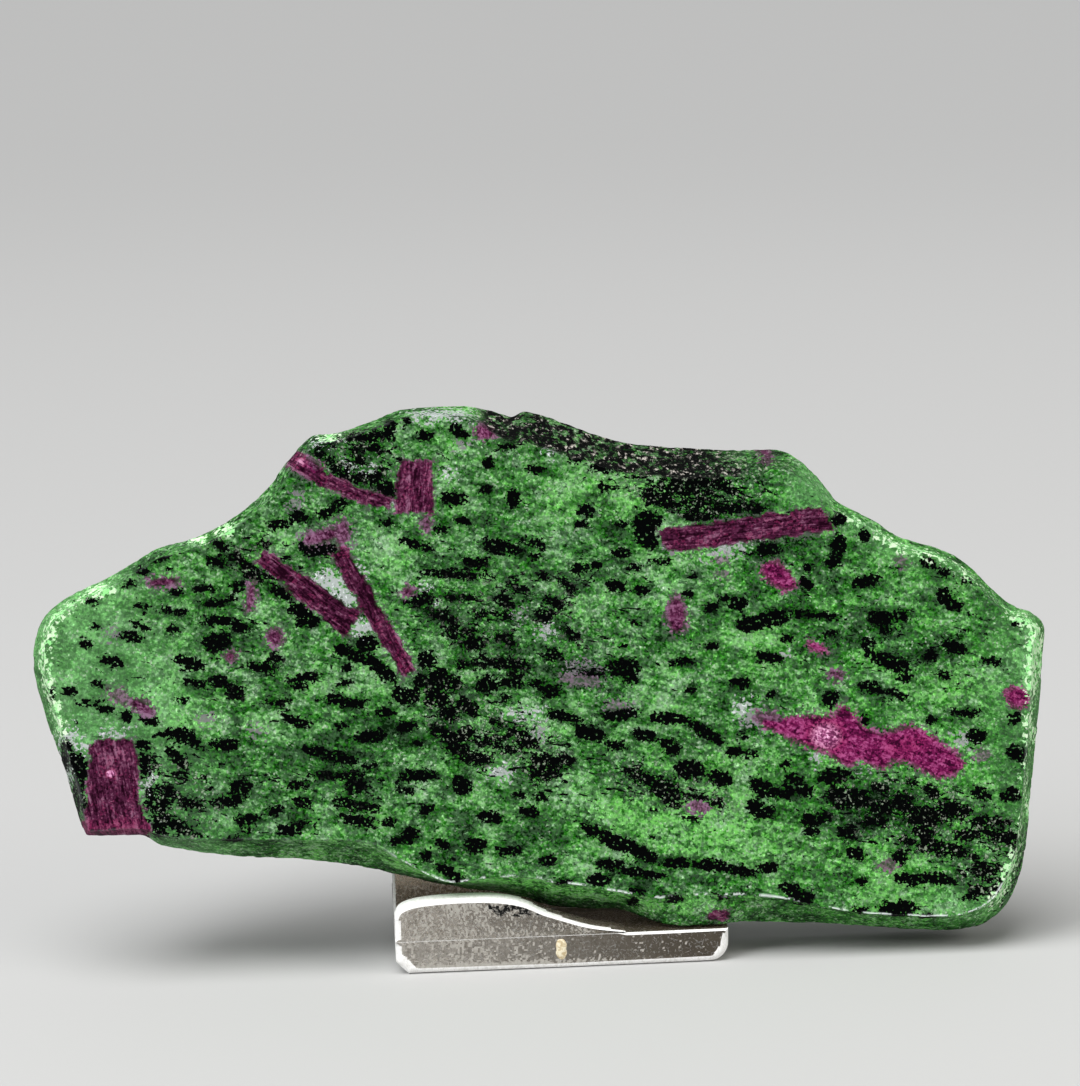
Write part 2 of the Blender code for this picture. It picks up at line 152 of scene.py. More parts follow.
HORNBLENDE_RIGHT = (
    (22.9, 56.8, 5, 1.2, 0), (27, 57.8, 4, 1.2, 0), (30.6, 57.6, 3.6, 0.9, -8), (15.2, 56.3, 3.4, 2, 0),
    (14.3, 54.8, 1.6, 3, 0), (15.5, 52.9, 1.8, 1.8, 0), (17, 50.1, 2.2, 0.6, 0), (33, 51.3, 3, 1.7, 0),
    (43.9, 55.5, 2.4, 1.6, 0), (43.7, 51.6, 2, 2.6, 0), (42.8, 49.1, 2, 1.5, 0),
    (47.6, 53, 1.5, 1.5, 0), (47.7, 46, 3.8, 1.3, 5), (39.1, 48.5, 1, 0.8, 0),
    (38.6, 45.9, 2.2, 1, -25), (57.2, 48.3, 2.4, 1.2, -20), (59.5, 46.9, 1.4, 0.8, 0),
    (62.5, 45.4, 1.4, 0.7, 0), (59.2, 43.4, 2.2, 1.3, -20), (60.7, 41.9, 2.6, 1.2, -20),
    (20.8, 45.2, 1.4, 0.8, 0), (24, 42.9, 1.8, 0.9, 0), (28.1, 43.5, 2.4, 1.3, -15),
    (25.9, 44.2, 1, 0.5, 0), (29.8, 40.2, 3.6, 2.2, 0), (33.2, 40.9, 4.4, 2, 5),
    (40, 41.2, 5.5, 0.6, -5), (35.2, 37.8, 1.7, 0.8, 0), (41.9, 38.3, 1.4, 0.5, 0),
    (32.6, 35.1, 3.8, 1.2, -12), (24, 37.2, 1.5, 0.7, 0), (19.2, 35, 3, 0.6, 0),
    (49.5, 40.4, 3.2, 1.8, 0), (52.8, 40.6, 1.8, 1.3, 0), (50.4, 38.6, 1.2, 0.8, 0),
    (47.3, 36.1, 2.2, 0.9, -60), (49.3, 34.2, 3.2, 1.6, -20), (51.9, 33.2, 3, 2, -20),
    (60.5, 35.7, 3.4, 1.6, -15), (56.8, 34.4, 1.8, 1.5, 0), (66, 33.2, 2.2, 0.7, -10),
    (70.3, 38.9, 1.6, 0.8, 0), (13.9, 46, 1.8, 1, 0), (21.6, 47.9, 0.9, 0.4, 0),
    (41.6, 28.7, 2, 1.4, 10), (41.2, 27.8, 1.2, 0.7, 0), (47.5, 30, 3.2, 1.2, -20),
    (51.6, 28.7, 2.6, 0.7, -20), (52.9, 31.2, 1.6, 0.7, 0), (58.8, 31.3, 1.4, 0.7, -20),
    (46.6, 25.3, 1.3, 0.9, -30), (56.7, 24.8, 1.3, 0.9, 0), (61.5, 25.7, 3.2, 0.7, -8),
    (63.4, 22.1, 2.6, 1.8, 0), (69.1, 24.6, 1.6, 1.5, 0), (69.3, 19.3, 2.6, 1.8, -30),
    (34.6, 19, 0.9, 0.8, 0), (35.5, 16.8, 2.5, 1, -10), (37, 15.1, 2, 1.2, 0),
    (34.2, 14.7, 2, 0.7, -10), (41.6, 16.9, 4.6, 1.8, 5), (43.6, 13.7, 6.4, 3, -5),
    (48.6, 14.8, 2.6, 1.1, -25), (48.5, 11.9, 3.4, 1.8, 0), (51.8, 12.4, 3, 2.8, 0),
    (47.6, 9.9, 3.6, 1.4, 0), (55, 10.3, 5, 3, 0), (58.7, 11.3, 3.4, 2.6, 0), (56.3, 14, 2.2, 1.2, -30),
    (61.2, 10.9, 2, 1.3, 0), (63.5, 13.4, 2.8, 1.3, -15), (68.2, 13, 2.8, 1.5, 0),
    (53.3, 15.3, 1, 1, 0), (65.1, 9.3, 4.4, 1, -10), (66.7, 6.7, 3.8, 2, -10), (61.6, 7.4, 4, 1.2, 0),
    (55, 8.1, 2.6, 3, 0), (55.6, 5.9, 3.4, 1.6, 0), (59, 5, 4.4, 1.6, -8), (52.3, 6.9, 1.8, 1.2, 0),
    (43.3, 8.3, 3, 1.1, -30), (39.8, 10.9, 2.4, 1.2, 0), (37.6, 10.6, 2.2, 1.3, -15),
    (37.9, 8.9, 1.7, 1, 0), (44.4, 5.2, 2.8, 1, -20), (51.1, 4.5, 2.2, 1.6, 0),
    (52.2, 1, 3.8, 1.2, -15), (56.9, 0.9, 4.6, 1, -10), (45.1, 1, 1.2, 0.8, 0), (50.4, -3.3, 5.4, 2, 0),
    (62.8, -1.1, 2.4, 1.6, 0), (61.2, -1.8, 1.4, 0.8, 0), (63.8, 1.8, 3, 1.6, 0), (66, -1, 1.8, 2.2, 0),
    (36.6, -1.1, 1.8, 1.4, 0), (34.4, 0.5, 1.8, 1, 0), (44.8, -3.3, 1.6, 0.5, 0),
    (54.8, -4.8, 2, 0.8, 0),
)
HORNBLENDE_FOOT = (
    (-29.3, 15.3, 4.8, 1, -7), (-29.8, 13.2, 4.6, 1, -12), (-22.3, 10.9, 2.2, 1.9, 0),
    (-25.2, 12.8, 1.3, 0.8, 0), (-24.2, 9.9, 1.6, 0.6, 0), (-17.5, 9.1, 2.2, 0.8, -35),
    (-19.5, 14.5, 1.6, 1, 0), (-19.9, 7.5, 1.2, 1.2, 0), (-12.5, 8.8, 1.9, 2.8, 80),
    (-10.2, 12.9, 3.6, 1.1, -10), (-16.3, 4.6, 4.4, 1.2, -35), (-7.4, 7.8, 3.1, 0.9, 0),
    (-1.7, 6.1, 2.2, 0.8, 0), (5.8, 2.9, 3, 1.3, 0), (0.6, 2.8, 1.6, 0.4, 0), (7.4, 5.2, 3.4, 0.9, -8),
    (12.1, 3.7, 6, 0.9, -12), (6.3, 9.7, 6, 1.2, -22), (9.5, 8, 6, 1.4, -18),
    (12.7, 6.3, 3.4, 1.4, -22), (17.3, 5, 3.4, 1.2, -8), (22.9, 4.3, 5.5, 1.2, -10),
    (27.3, 3.3, 3, 0.9, -15), (31.2, 3.65, 2.6, 1.1, 0), (11.4, 1.1, 1.8, 0.6, 0),
    (11, -0.8, 1.8, 1.1, 0), (16.8, -0.6, 2.4, 1, 0), (24.3, -0.8, 1.6, 0.6, 0),
    (33.8, 0.5, 1.4, 0.8, 0), (35.8, -0.8, 2.6, 1.6, 0),
)
HORNBLENDE_CENTRE = (
    (-16, 43.1, 4.2, 1.3, -22), (-13.2, 40.7, 5, 0.9, -5), (-11.8, 38.8, 3.6, 1.2, -5),
    (-6.8, 39.4, 3, 1, -30), (-7, 43, 1.8, 0.8, -15), (-6.4, 44.9, 2.4, 0.9, -35),
    (-0.9, 42.6, 2.6, 1.5, 0), (0.2, 36.7, 1.4, 2.6, 80), (-11.9, 35.9, 4, 0.8, 0),
    (-7.5, 35.9, 4, 0.9, 0), (-4.8, 35.3, 2.2, 1.3, 0), (-10, 32.7, 2.6, 2.4, 0),
    (-6.4, 33, 3.2, 1.4, 0), (-7.3, 30.7, 1.2, 0.8, 0), (-2.2, 32.7, 1.4, 0.8, 0),
    (-0.5, 31.4, 2.6, 1.2, 0), (-14.5, 32.9, 1.8, 1.5, 0), (-18.7, 36.7, 2.4, 2, 0),
    (-17, 33.7, 3, 3.2, -45), (-26.5, 36.5, 2.8, 1.4, -30), (-24.7, 34.7, 3.2, 1.3, -35),
    (-27.4, 39.5, 3, 2.4, 0), (-31.2, 38.7, 1.8, 1.2, -20), (-29.2, 37.7, 2, 1, 0),
    (-22.1, 31.4, 4, 1.8, -8), (-17.4, 31, 3.4, 2, 0), (-19.7, 33.4, 2, 2, 0),
    (-13.1, 29.5, 3.6, 1.8, -20), (-15.9, 28.8, 2.6, 2, 0), (-25.3, 29.1, 2.4, 0.8, 0),
    (-32.8, 31.5, 2, 1.1, 0), (-30, 30.7, 3.6, 0.9, 0), (-22.3, 26.9, 2.6, 1.3, 15),
    (-31.9, 27.4, 1.5, 0.6, 0), (-27.6, 25.7, 4.2, 1.5, 8), (-16.8, 25.7, 3.6, 1.4, -25),
    (-13.5, 25.2, 3, 1.8, 15), (-8.8, 27, 1.4, 0.7, 0), (-10, 24.2, 3.2, 1, -10),
    (-5.9, 25.4, 2.4, 1.1, -10), (-4.1, 24, 2.8, 1.5, -15), (-6.9, 22.9, 2.6, 0.7, 0),
    (-14.7, 23.2, 3.2, 1.6, -20), (-11.7, 21.7, 4.2, 1.4, -12), (-20.7, 24.4, 1.4, 0.4, 0),
    (-31.9, 22.5, 4, 0.9, -8), (-27.9, 21.1, 1.5, 0.5, 0), (-32.7, 20.1, 5.6, 0.6, -3),
    (-30, 18.6, 3, 2, -10), (-32.2, 16.35, 2, 0.8, 0), (-20.8, 19.5, 5.6, 1.3, 0),
    (-22.6, 17.4, 2.2, 0.8, -8), (-14.3, 17.8, 3, 2.2, -35), (-1.8, 21.1, 4, 1.6, 0),
    (-1.8, 19.2, 4, 2, 0), (-5.6, 16.1, 1.6, 0.5, 0), (-2.5, 15.6, 1.5, 0.8, 0),
    (-4.3, 13.4, 2.6, 1.2, -12), (-30.7, 35.9, 1, 0.8, 0), (-31.2, 33.7, 1.6, 0.7, 0),
    (3.1, 39.6, 3, 1, -38), (10.7, 34.6, 4.6, 2.2, -5), (11.6, 33, 2.2, 1.4, 0),
    (5.8, 33.7, 3.2, 0.8, -8), (9.8, 27.5, 5, 1.4, 5), (1.5, 27.5, 4.6, 1.2, -15),
    (5.4, 24.8, 4.4, 1.8, -15), (17.1, 26.6, 5, 1.2, -5), (20.8, 30.7, 1.2, 0.8, 0),
    (22, 24.7, 4, 1.3, -35), (24.2, 23.2, 1.8, 0.7, -20), (13.4, 24.3, 3.2, 1.3, -12),
    (17.2, 22.3, 3, 1.6, -40), (9.3, 22.8, 2.8, 0.8, -5), (1.4, 20.9, 2.6, 1.5, 0),
    (12.6, 18.1, 4, 1.3, -15), (16, 16.2, 4.6, 2.6, -25), (17, 14.4, 3, 1.4, -20),
    (20.1, 18.8, 4, 2.6, 0), (24.5, 17.3, 3.4, 1.8, -12), (26.8, 21.2, 1.8, 1.1, 0),
    (29.3, 20.9, 1.4, 0.7, 0), (21, 14.7, 2.6, 0.8, -10), (23.5, 13.6, 2.2, 0.8, 0),
    (30.8, 15.7, 3.8, 1.8, -30), (33.9, 14.7, 2.2, 0.6, 0), (29.3, 13.1, 1.8, 1.6, 0),
    (31, 11.9, 3, 1.4, 0), (28.2, 31.5, 2.6, 1.1, -5), (32.5, 29.6, 0.9, 0.5, 0),
    (28.2, 23.5, 0.9, 0.6, 0),
)

# More of them: down both sides of the ruby block at the left, and among the rubies of the crest.
EDGE_STRIP = (
    (-71.6, 23.4, 2.8, 1.6, 80), (-72.2, 20, 3, 1.3, 74), (-71.2, 17.4, 3.2, 1.6, 80),
    (-72.2, 15.4, 2.4, 1.2, 70), (-71.8, 13.6, 2.6, 1.6, 80), (-70.6, 21.2, 2.2, 0.9, 84),
    (-61.2, 22.6, 3.4, 1.2, 84), (-60.6, 17.6, 3.4, 1, 80), (-59.4, 13.6, 3.2, 1.6, 80),
)
CREST_FILL = (
    (20.5, 61, 5, 1.8, -10), (16.8, 59.6, 4.2, 1.8, -18), (22.6, 58.7, 4, 1.3, -8),
    (25.4, 61.8, 3.4, 1.2, -10), (-27.5, 70.4, 3.2, 1.3, -5), (-33.2, 68, 2, 1, -30),
    (-31.2, 66.3, 1.6, 0.9, -35), (-24.2, 70.6, 2.2, 1, 0), (-23.6, 62.3, 2.4, 1.6, -40),
    (-24.6, 64.6, 1.6, 1.2, 20), (-28.3, 68.4, 1.4, 0.9, 0), (-12.6, 70.6, 2.8, 1.2, -35),
    (-23, 71.4, 2.6, 1.2, 80), (-73.2, 24.6, 4.6, 1.6, 78), (-72.8, 18.4, 6, 1.8, 78),
)
HORNBLENDE = (
    EDGE_STRIP + CREST_FILL + HORNBLENDE_LEFT + HORNBLENDE_CREST + HORNBLENDE_RIGHT
    + HORNBLENDE_FOOT + HORNBLENDE_CENTRE
)

# Straight ruby crystals, cut along their length: start u, v, end u, v, the widths at both
# ends, the slant of the ends, and the tone, from 0 for crimson to 1 for greyish lilac.
RUBY_BARS = (
    (17.3, 53.2, 42.2, 55.5, 3.4, 3.7, 0.5, 0.02), (-43, 53.2, -29.6, 42.4, 2.2, 4.1, 0.2, 0.02),
    (-31.4, 53.6, -21.4, 34.8, 2.5, 2.5, 0, 0.02), (-37.8, 67.8, -32.1, 63.9, 3, 2.1, 0, 0.12),
    (-32.6, 64.2, -26.5, 61.3, 1.9, 1.9, 0, 0.12), (-26.9, 61.5, -23.4, 60.5, 1.9, 1.6, 0, 0.12),
    (-19.1, 66.4, -19.7, 58.8, 5, 5.4, 0, 0.17),
)

# Round or ragged ruby grains: u, v, length, width, tilt, tone.
RUBY_GRAINS = (
    (-35, 66.3, 4.5, 2.6, -35, 0.55), (-18, 57.1, 1.6, 3, 0, 0.62), (-8.7, 70.5, 3.6, 2.8, 0, 0.44),
    (-33.8, 55.8, 6, 2.4, 12, 0.47), (-30.6, 56.2, 2.6, 4.2, 0, 0.57), (33.6, 66, 1.8, 2.6, 20, 0.45),
    (-57.6, 49.9, 4.8, 1.8, 3, 0.46), (-64.6, 33, 4.4, 2, -28, 0.75), (-44.6, 47.2, 4.8, 1.6, 80, 0.46),
    (-61.4, 31.4, 4.4, 2.2, -32, 0.50), (32.6, 25.9, 5.4, 2.2, -12, 0.66),
    (-41.3, 41, 2.8, 3, 0, 0.46), (-48, 38.4, 1.9, 2.1, 0, 0.45), (-21.2, 47, 2.4, 1.9, 0, 0.46),
    (4.2, 32.8, 5.5, 1.5, -10, 0.95), (9.4, 28.8, 3, 1.2, 0, 0.95), (34.5, 47.3, 6.2, 3.4, -38, 0.30),
    (18.9, 42, 3.2, 5.8, 0, 0.45), (39.8, 36.4, 3.4, 1.6, -25, 0.35), (42.5, 32.2, 2.8, 1.8, -25, 0.60),
    (69.8, 27.7, 3.8, 3.2, -20, 0.30), (21.1, 13.2, 3.6, 1.8, -15, 0.65), (23.5, -3.3, 4, 1.6, 5, 0.10),
    (33.4, 64.9, 2, 2, 0, 0.70), (53.1, 48.6, 1.6, 1.2, 0, 0.85), (26, 50.2, 2, 0.8, 0, 0.85),
    (26, 47.9, 1.6, 1, 0, 0.90), (49, 3.1, 2.6, 1.5, 0, 0.75), (63.9, 19.3, 2.2, 1.6, 0, 0.85),
)

# Ruby crystals with an outline of their own: the tone, the direction of their threads in
# degrees, then the corners u, v in turn.
RUBY_OUTLINES = (
    (0.10, -82, (  # the block at the lower left corner
        (-69.3, 26.2), (-67.5, 26.7), (-65.3, 26.6), (-62.8, 26.7), (-62.4, 24.3), (-62.5, 21.7),
        (-62, 18.1), (-61.5, 15.5), (-60.8, 13.5), (-61.4, 11), (-70.6, 10.6), (-71.4, 14),
        (-70.7, 15.1), (-70.2, 17.8), (-69.8, 21.8), (-69.5, 24.6),
    )),
    (0.36, -20, (  # the ragged patch at the right
        (30.2, 27.3), (32.1, 26.7), (35.5, 26.4), (39.7, 26.4), (41.7, 26), (42.8, 27.4),
        (43.9, 27.8), (45.2, 26.2), (46.5, 24.4), (48.9, 23.3), (51.3, 23.6), (53.1, 24.2),
        (55.1, 23.8), (56.8, 22.7), (58.5, 21.2), (60.2, 19.8), (61.9, 18.1), (61.3, 17.1),
        (59.7, 16.3), (57.3, 15.7), (55.2, 16.9), (53.2, 18.3), (50.4, 18.8), (49.4, 17.4),
        (47.3, 18.2), (45.6, 19), (43.8, 18), (42.2, 19.1), (40.5, 20.6), (38.4, 21),
        (35.7, 22.5), (33.3, 23.6), (31, 24.7),
    )),
)

# Pale lilac and white ground around the rubies: u, v, length, width, tilt, share of lilac.
PALE_GROUND = (
    (-33.2, 55, 7, 3.2, 0, 0.8), (-30.8, 55.6, 2.8, 4.4, 0, 0.9), (-29.6, 49.4, 3.2, 4, 0, 0.1),
    (-33, 49, 3.8, 2.6, -50, 0.1), (-31, 47, 4.4, 2, -50, 0.1), (-27.9, 41.8, 2.4, 2.6, 0, 0.1),
    (27.2, 51.4, 5.4, 1.1, 4, 0.3), (18.6, 52.4, 2.4, 1.6, -40, 0.7), (-0.7, 40.5, 2.4, 1.8, 0, 0.3),
    (-5, 43.1, 2.2, 1.6, 0, 0.6), (5, 34.4, 5.4, 1.9, -15, 0.8), (9.6, 28.6, 3.6, 1.6, 0, 0.7),
    (-8.5, 19.5, 3.4, 1.5, 0, 0.2), (-4.5, 28.2, 4.2, 0.9, -5, 0.1),
    (30, 26.2, 3.4, 2.2, 0, 0.6), (28.5, 27.7, 2.4, 1.4, 30, 0.1), (-2.2, 25, 2.4, 2.2, 0, 0.5),
    (-66, 27.6, 3.4, 0.9, 0, 0.2),
    (-72.6, 27, 3, 2, 40, 0), (-70.6, 25.6, 2, 1.6, 0, 0), (-66.4, 21.7, 1, 0.7, 0, 0.3),
    (-65.6, 13.6, 8.6, 0.6, 0, 0.6), (-65.4, 42.4, 2, 1.5, 0, 0.8), (-51.7, 29.5, 2, 1.4, 0, 0.8),
    (-44.5, 27, 2, 1.4, 0, 0.8), (-37.3, 60.9, 2.4, 2.2, 0, 0.8), (0.8, 67.5, 1, 0.8, 0, 0),
    (34.6, 35.6, 0.9, 0.9, 0, 0.3), (-18.7, 47.3, 1.1, 0.9, 0, 0), (-17.1, 44.9, 0.8, 0.7, 0, 0),
    (-15, 73.4, 8, 1.2, 0, 0.1), (-60.8, 20.4, 1.2, 3.4, 0, 0.1), (-24, 40, 1.6, 3, 25, 0.2),
    (46.6, 19, 3.2, 1.6, 0, 0.5), (61, 21.6, 2.6, 1.6, 0, 0.4), (39.4, 20.6, 2.4, 1, 60, 0.3),
    (-32.1, 70, 4, 1.4, 5, 0.1), (-29.1, 66, 2.4, 1.8, 0, 0.2), (-25.5, 68.3, 0.9, 0.8, 0, 0),
    (-26.2, 65.1, 3, 1, -10, 0.2), (-22.5, 60.6, 0.9, 0.8, 0, 0), (-12, 68.9, 1.6, 1.2, 0, 0.7),
    (-14.5, 64.2, 1, 0.9, 0, 0), (-73.2, 21.5, 9, 1.8, 78, 0.2),
)

# What shows on the sawn back and fades into the rim: the same columns as above.
BACK_BARS = (
    (-52, 24, -36, 31.5, 3.2, 3.6, 0.2, 0.2), (6, 46, 17, 31, 3.4, 3, 0, 0.2),
    (38, 12, 58, 17, 2.8, 3.2, 0.3, 0.3), (-12, 60, 4, 63.5, 3, 2.6, 0, 0.3),
    (-66, 40, -63, 30, 4.4, 4.8, 0, 0.2),
)
BACK_GRAINS = (
    (-30, 49, 9, 4.6, -30, 0.3), (-24, 46, 6, 3.6, -10, 0.5), (28, 45, 4.2, 3, 20, 0.4),
    (-6, 20, 5, 3.6, -35, 0.6), (61, 33, 5.4, 3.4, -20, 0.4), (-44, 14, 3.4, 2.4, 0, 0.7),
    (22, 60, 3.8, 2.2, 15, 0.5), (-20, 31, 3, 2, 60, 0.7), (47, 40, 3.6, 2.4, -50, 0.5),
)
BACK_PALE = ((-12, 40, 16, 1.2, -14, 0.1), (30, 22, 9, 2.4, -8, 0.3))


class Side(Enum):
    """The two sides of the slab, each with its own pattern."""

    FACE = "polished face"
    BACK = "sawn back"


def linear(red: float, green: float, blue: float) -> Colour:
    """Turns a colour in display values, 0 to 255, into scene-linear ones, 0 to 1."""
    return tuple(
        c / 12.92 if c <= 0.04045 else ((c + 0.055) / 1.055) ** 2.4
        for c in (red / 255, green / 255, blue / 255)
    )


def tones(*colours: Colour) -> Tones:
    """The same for several colours, which go from dark to light."""
    return tuple(linear(*colour) for colour in colours)


def ease(values: Array, low: float, high: float) -> Array:
    """Rises smoothly from 0 to 1 between two values: 3t^2 - 2t^3, t the share of the way."""
    t = np.clip((values - low) / (high - low), 0.0, 1.0)
    return t * t * (3.0 - 2.0 * t)


def turned(u: Array, v: Array, degrees: float) -> tuple[Array, Array]:
    """Places along and across a direction that many degrees up from the right."""
    turn = math.radians(degrees)
    return u * math.cos(turn) + v * math.sin(turn), v * math.cos(turn) - u * math.sin(turn)


@dataclass(frozen=True)
class Zones:
    """Soft ellipses on the face: rows of u, v, half width, half height, tilt and share.

    Places are measured from an ellipse's middle in its own half sizes: its share is full
    within inner of them, and has faded to nothing at outer.
    """

    rows: Rows
    outer: float
    inner: float
    least: float = 0.0

    def field(self, u: Array, v: Array) -> Array:
        """The largest share that any of the ellipses has at each place.

        Args:
            u: places to the right, in slab millimetres.
            v: places up the face.

        Returns:
            The shares, least where no ellipse reaches.
        """
        field = np.full(u.shape, self.least)
        for middle_u, middle_v, half_u, half_v, tilt, share in self.rows:
            x, y = turned(u - middle_u, v - middle_v, tilt)
            reach = ease(np.hypot(x / half_u, y / half_v), self.outer, self.inner)
            field = np.maximum(field, share * reach)
        return field


@dataclass(frozen=True)
class Grit:
    """Repeatable random relief at points in space."""

    seed: int

    def picks(self, cells: Array, column: int = 0) -> Array:
        """Gives each whole-number cell a random number.

        Args:
            cells: integer coordinates, the last axis of length 3.
            column: which of the cell's random numbers is wanted.

        Returns:
            Numbers from 0 to 1: the three indices are hashed to a place in a seeded table.
        """
        table = np.random.default_rng(self.seed + 101 * column).random(8192)
        mixed = cells[..., 0] * 73856093 ^ cells[..., 1] * 19349663 ^ cells[..., 2] * 83492791
        return table[mixed & 8191]

    def soft(self, points: Array, size: float) -> Array:
        """Rolling relief: random corner values of cubes, eased from corner to corner.

        Args:
            points: places, the last axis of length 3.
            size: the cubes' side.

        Returns:
            Numbers from 0 to 1.
        """
        scaled = points / size
        base = np.floor(scaled).astype(np.int64)
        part = scaled - base
        part = part * part * (3.0 - 2.0 * part)
        total = np.zeros(points.shape[:-1])
        for corner in itertools.product((0, 1), repeat=3):
            step = np.array(corner)
            weight = np.prod(np.where(step == 1, part, 1.0 - part), axis=-1)
            total += weight * self.picks(base + step)
        return total

    def chips(self, points: Array, size: float) -> Array:
        """Broken relief: each point takes the tilted plane of its nearest scattered centre.

        Args:
            points: places, the last axis of length 3.
            size: the mean distance between centres.

        Returns:
            Numbers about 0.5: a random height plus a random slope times the distance.
        """
        scaled = points / size
        base = np.floor(scaled).astype(np.int64)
        nearest = np.full(points.shape[:-1], np.inf)
        height = np.zeros(points.shape[:-1])
        for corner in itertools.product((-1, 0, 1), repeat=3):
            cell = base + np.array(corner)
            spread = np.stack([self.picks(cell, k) for k in (1, 2, 3)], axis=-1)
            away = scaled - cell - spread
            distance = np.sum(away * away, axis=-1)
            slope = np.stack([self.picks(cell, k) for k in (4, 5, 6)], axis=-1) - 0.5
            plane = self.picks(cell, 7) * 0.8 + 0.1 + np.sum(away * slope, axis=-1)
            height = np.where(distance < nearest, plane, height)
            nearest = np.minimum(nearest, distance)
        return height


def smooth_curve(knots: Rows, closed: bool, steps: int = 16) -> Array:
    """Fine points along a Catmull-Rom curve through rows of knots.

    Args:
        knots: rows whose first two numbers are the place; the others are carried along.
        closed: whether the curve comes back to its start.
        steps: points for each stretch between knots.

    Returns:
        Rows along the curve, without a repeated end where it is closed.
    """
    rows = np.asarray(knots, dtype=float)
    if closed:
        padded = np.vstack([rows[-1], rows, rows[0], rows[1]])
    else:
        padded = np.vstack([2 * rows[0] - rows[1], rows, 2 * rows[-1] - rows[-2]])
    t = np.arange(steps)[:, None] / steps
    p0, p1, p2, p3 = (padded[i:len(padded) - 3 + i, None, :] for i in range(4))
    fine = 0.5 * (
        2 * p1
        + (p2 - p0) * t
        + (2 * p0 - 5 * p1 + 4 * p2 - p3) * t ** 2
        + (3 * p1 - p0 - 3 * p2 + p3) * t ** 3
    )
    fine = fine.reshape(-1, rows.shape[1])
    return fine if closed else np.vstack([fine, rows[-1]])


def run_lengths(rows: Array) -> Array:
    """Distance along a line of points to each of them, from its first two columns."""
    return np.concatenate([[0.0], np.cumsum(np.hypot(*np.diff(rows[:, :2], axis=0).T))])


def even_points(rows: Array, count: int) -> Array:
    """That many points at even distances along a line of rows, both of its ends included."""
    wanted = np.linspace(0.0, run_lengths(rows)[-1], count)
    return np.stack([np.interp(wanted, run_lengths(rows), column) for column in rows.T], axis=1)


def ring_average(values: Array, radius: float) -> Array:
    """Gaussian average of each row with its neighbours round a closed ring.

    Args:
        values: rows round the ring.
        radius: the spread, in rows.

    Returns:
        The averaged rows.
    """
    reach = range(-math.ceil(2.5 * radius), math.ceil(2.5 * radius) + 1)
    weights = [math.exp(-0.5 * (k / radius) ** 2) for k in reach]
    total = sum(weight * np.roll(values, k, axis=0) for k, weight in zip(reach, weights))
    return total / sum(weights)


def outward(ring: Array, radius: float) -> Array:
    """Unit directions out of a clockwise ring.

    Args:
        ring: places round the ring.
        radius: how many places each direction is averaged over.

    Returns:
        The direction along the averaged ring, turned a quarter turn to the left.
    """
    soft = ring_average(ring, radius)
    along = np.roll(soft, -1, axis=0) - np.roll(soft, 1, axis=0)
    out = np.stack([-along[:, 1], along[:, 0]], axis=1)
    return out / np.linalg.norm(out, axis=1, keepdims=True)


def coons_grid(ring: Array, across: int, up: int) -> Array:
    """Fills a clockwise ring with a grid.

    The place at shares s and t is the mean of the lower and upper sides, weighted by t,
    plus that of the left and right sides, weighted by s, less the mean of the corners.

    Args:
        ring: 2 * (across + up) rows from the lower left corner, up the left side first.
        across: cells from left to right.
        up: cells from bottom to top.

    Returns:
        Rows of the grid with shape (up + 1, across + 1, columns).
    """
    closed = np.vstack([ring, ring[:1]])
    left = closed[:up + 1]
    top = closed[up:up + across + 1]
    right = closed[up + across:2 * up + across + 1][::-1]
    bottom = closed[2 * up + across:][::-1]
    s = np.linspace(0.0, 1.0, across + 1)[None, :, None]
    t = np.linspace(0.0, 1.0, up + 1)[:, None, None]
    sides = (1 - t) * bottom[None] + t * top[None] + (1 - s) * left[:, None] + s * right[:, None]
    corners = (
        (1 - t) * ((1 - s) * left[0] + s * right[0]) + t * ((1 - s) * left[-1] + s * right[-1])
    )
    return sides - corners


def ring_cells(rings: int, columns: int) -> Array:
    """Four-sided faces between closed rings of vertices, numbered ring after ring.

    Args:
        rings: how many rings.
        columns: vertices in each ring.

    Returns:
        Rows of a vertex, the next one round, and those two in the next ring.
    """
    i, j = np.meshgrid(np.arange(columns), np.arange(rings - 1))
    corner, beside = (j * columns + i).ravel(), (j * columns + (i + 1) % columns).ravel()
    return np.stack([corner, beside, beside + columns, corner + columns], axis=1)


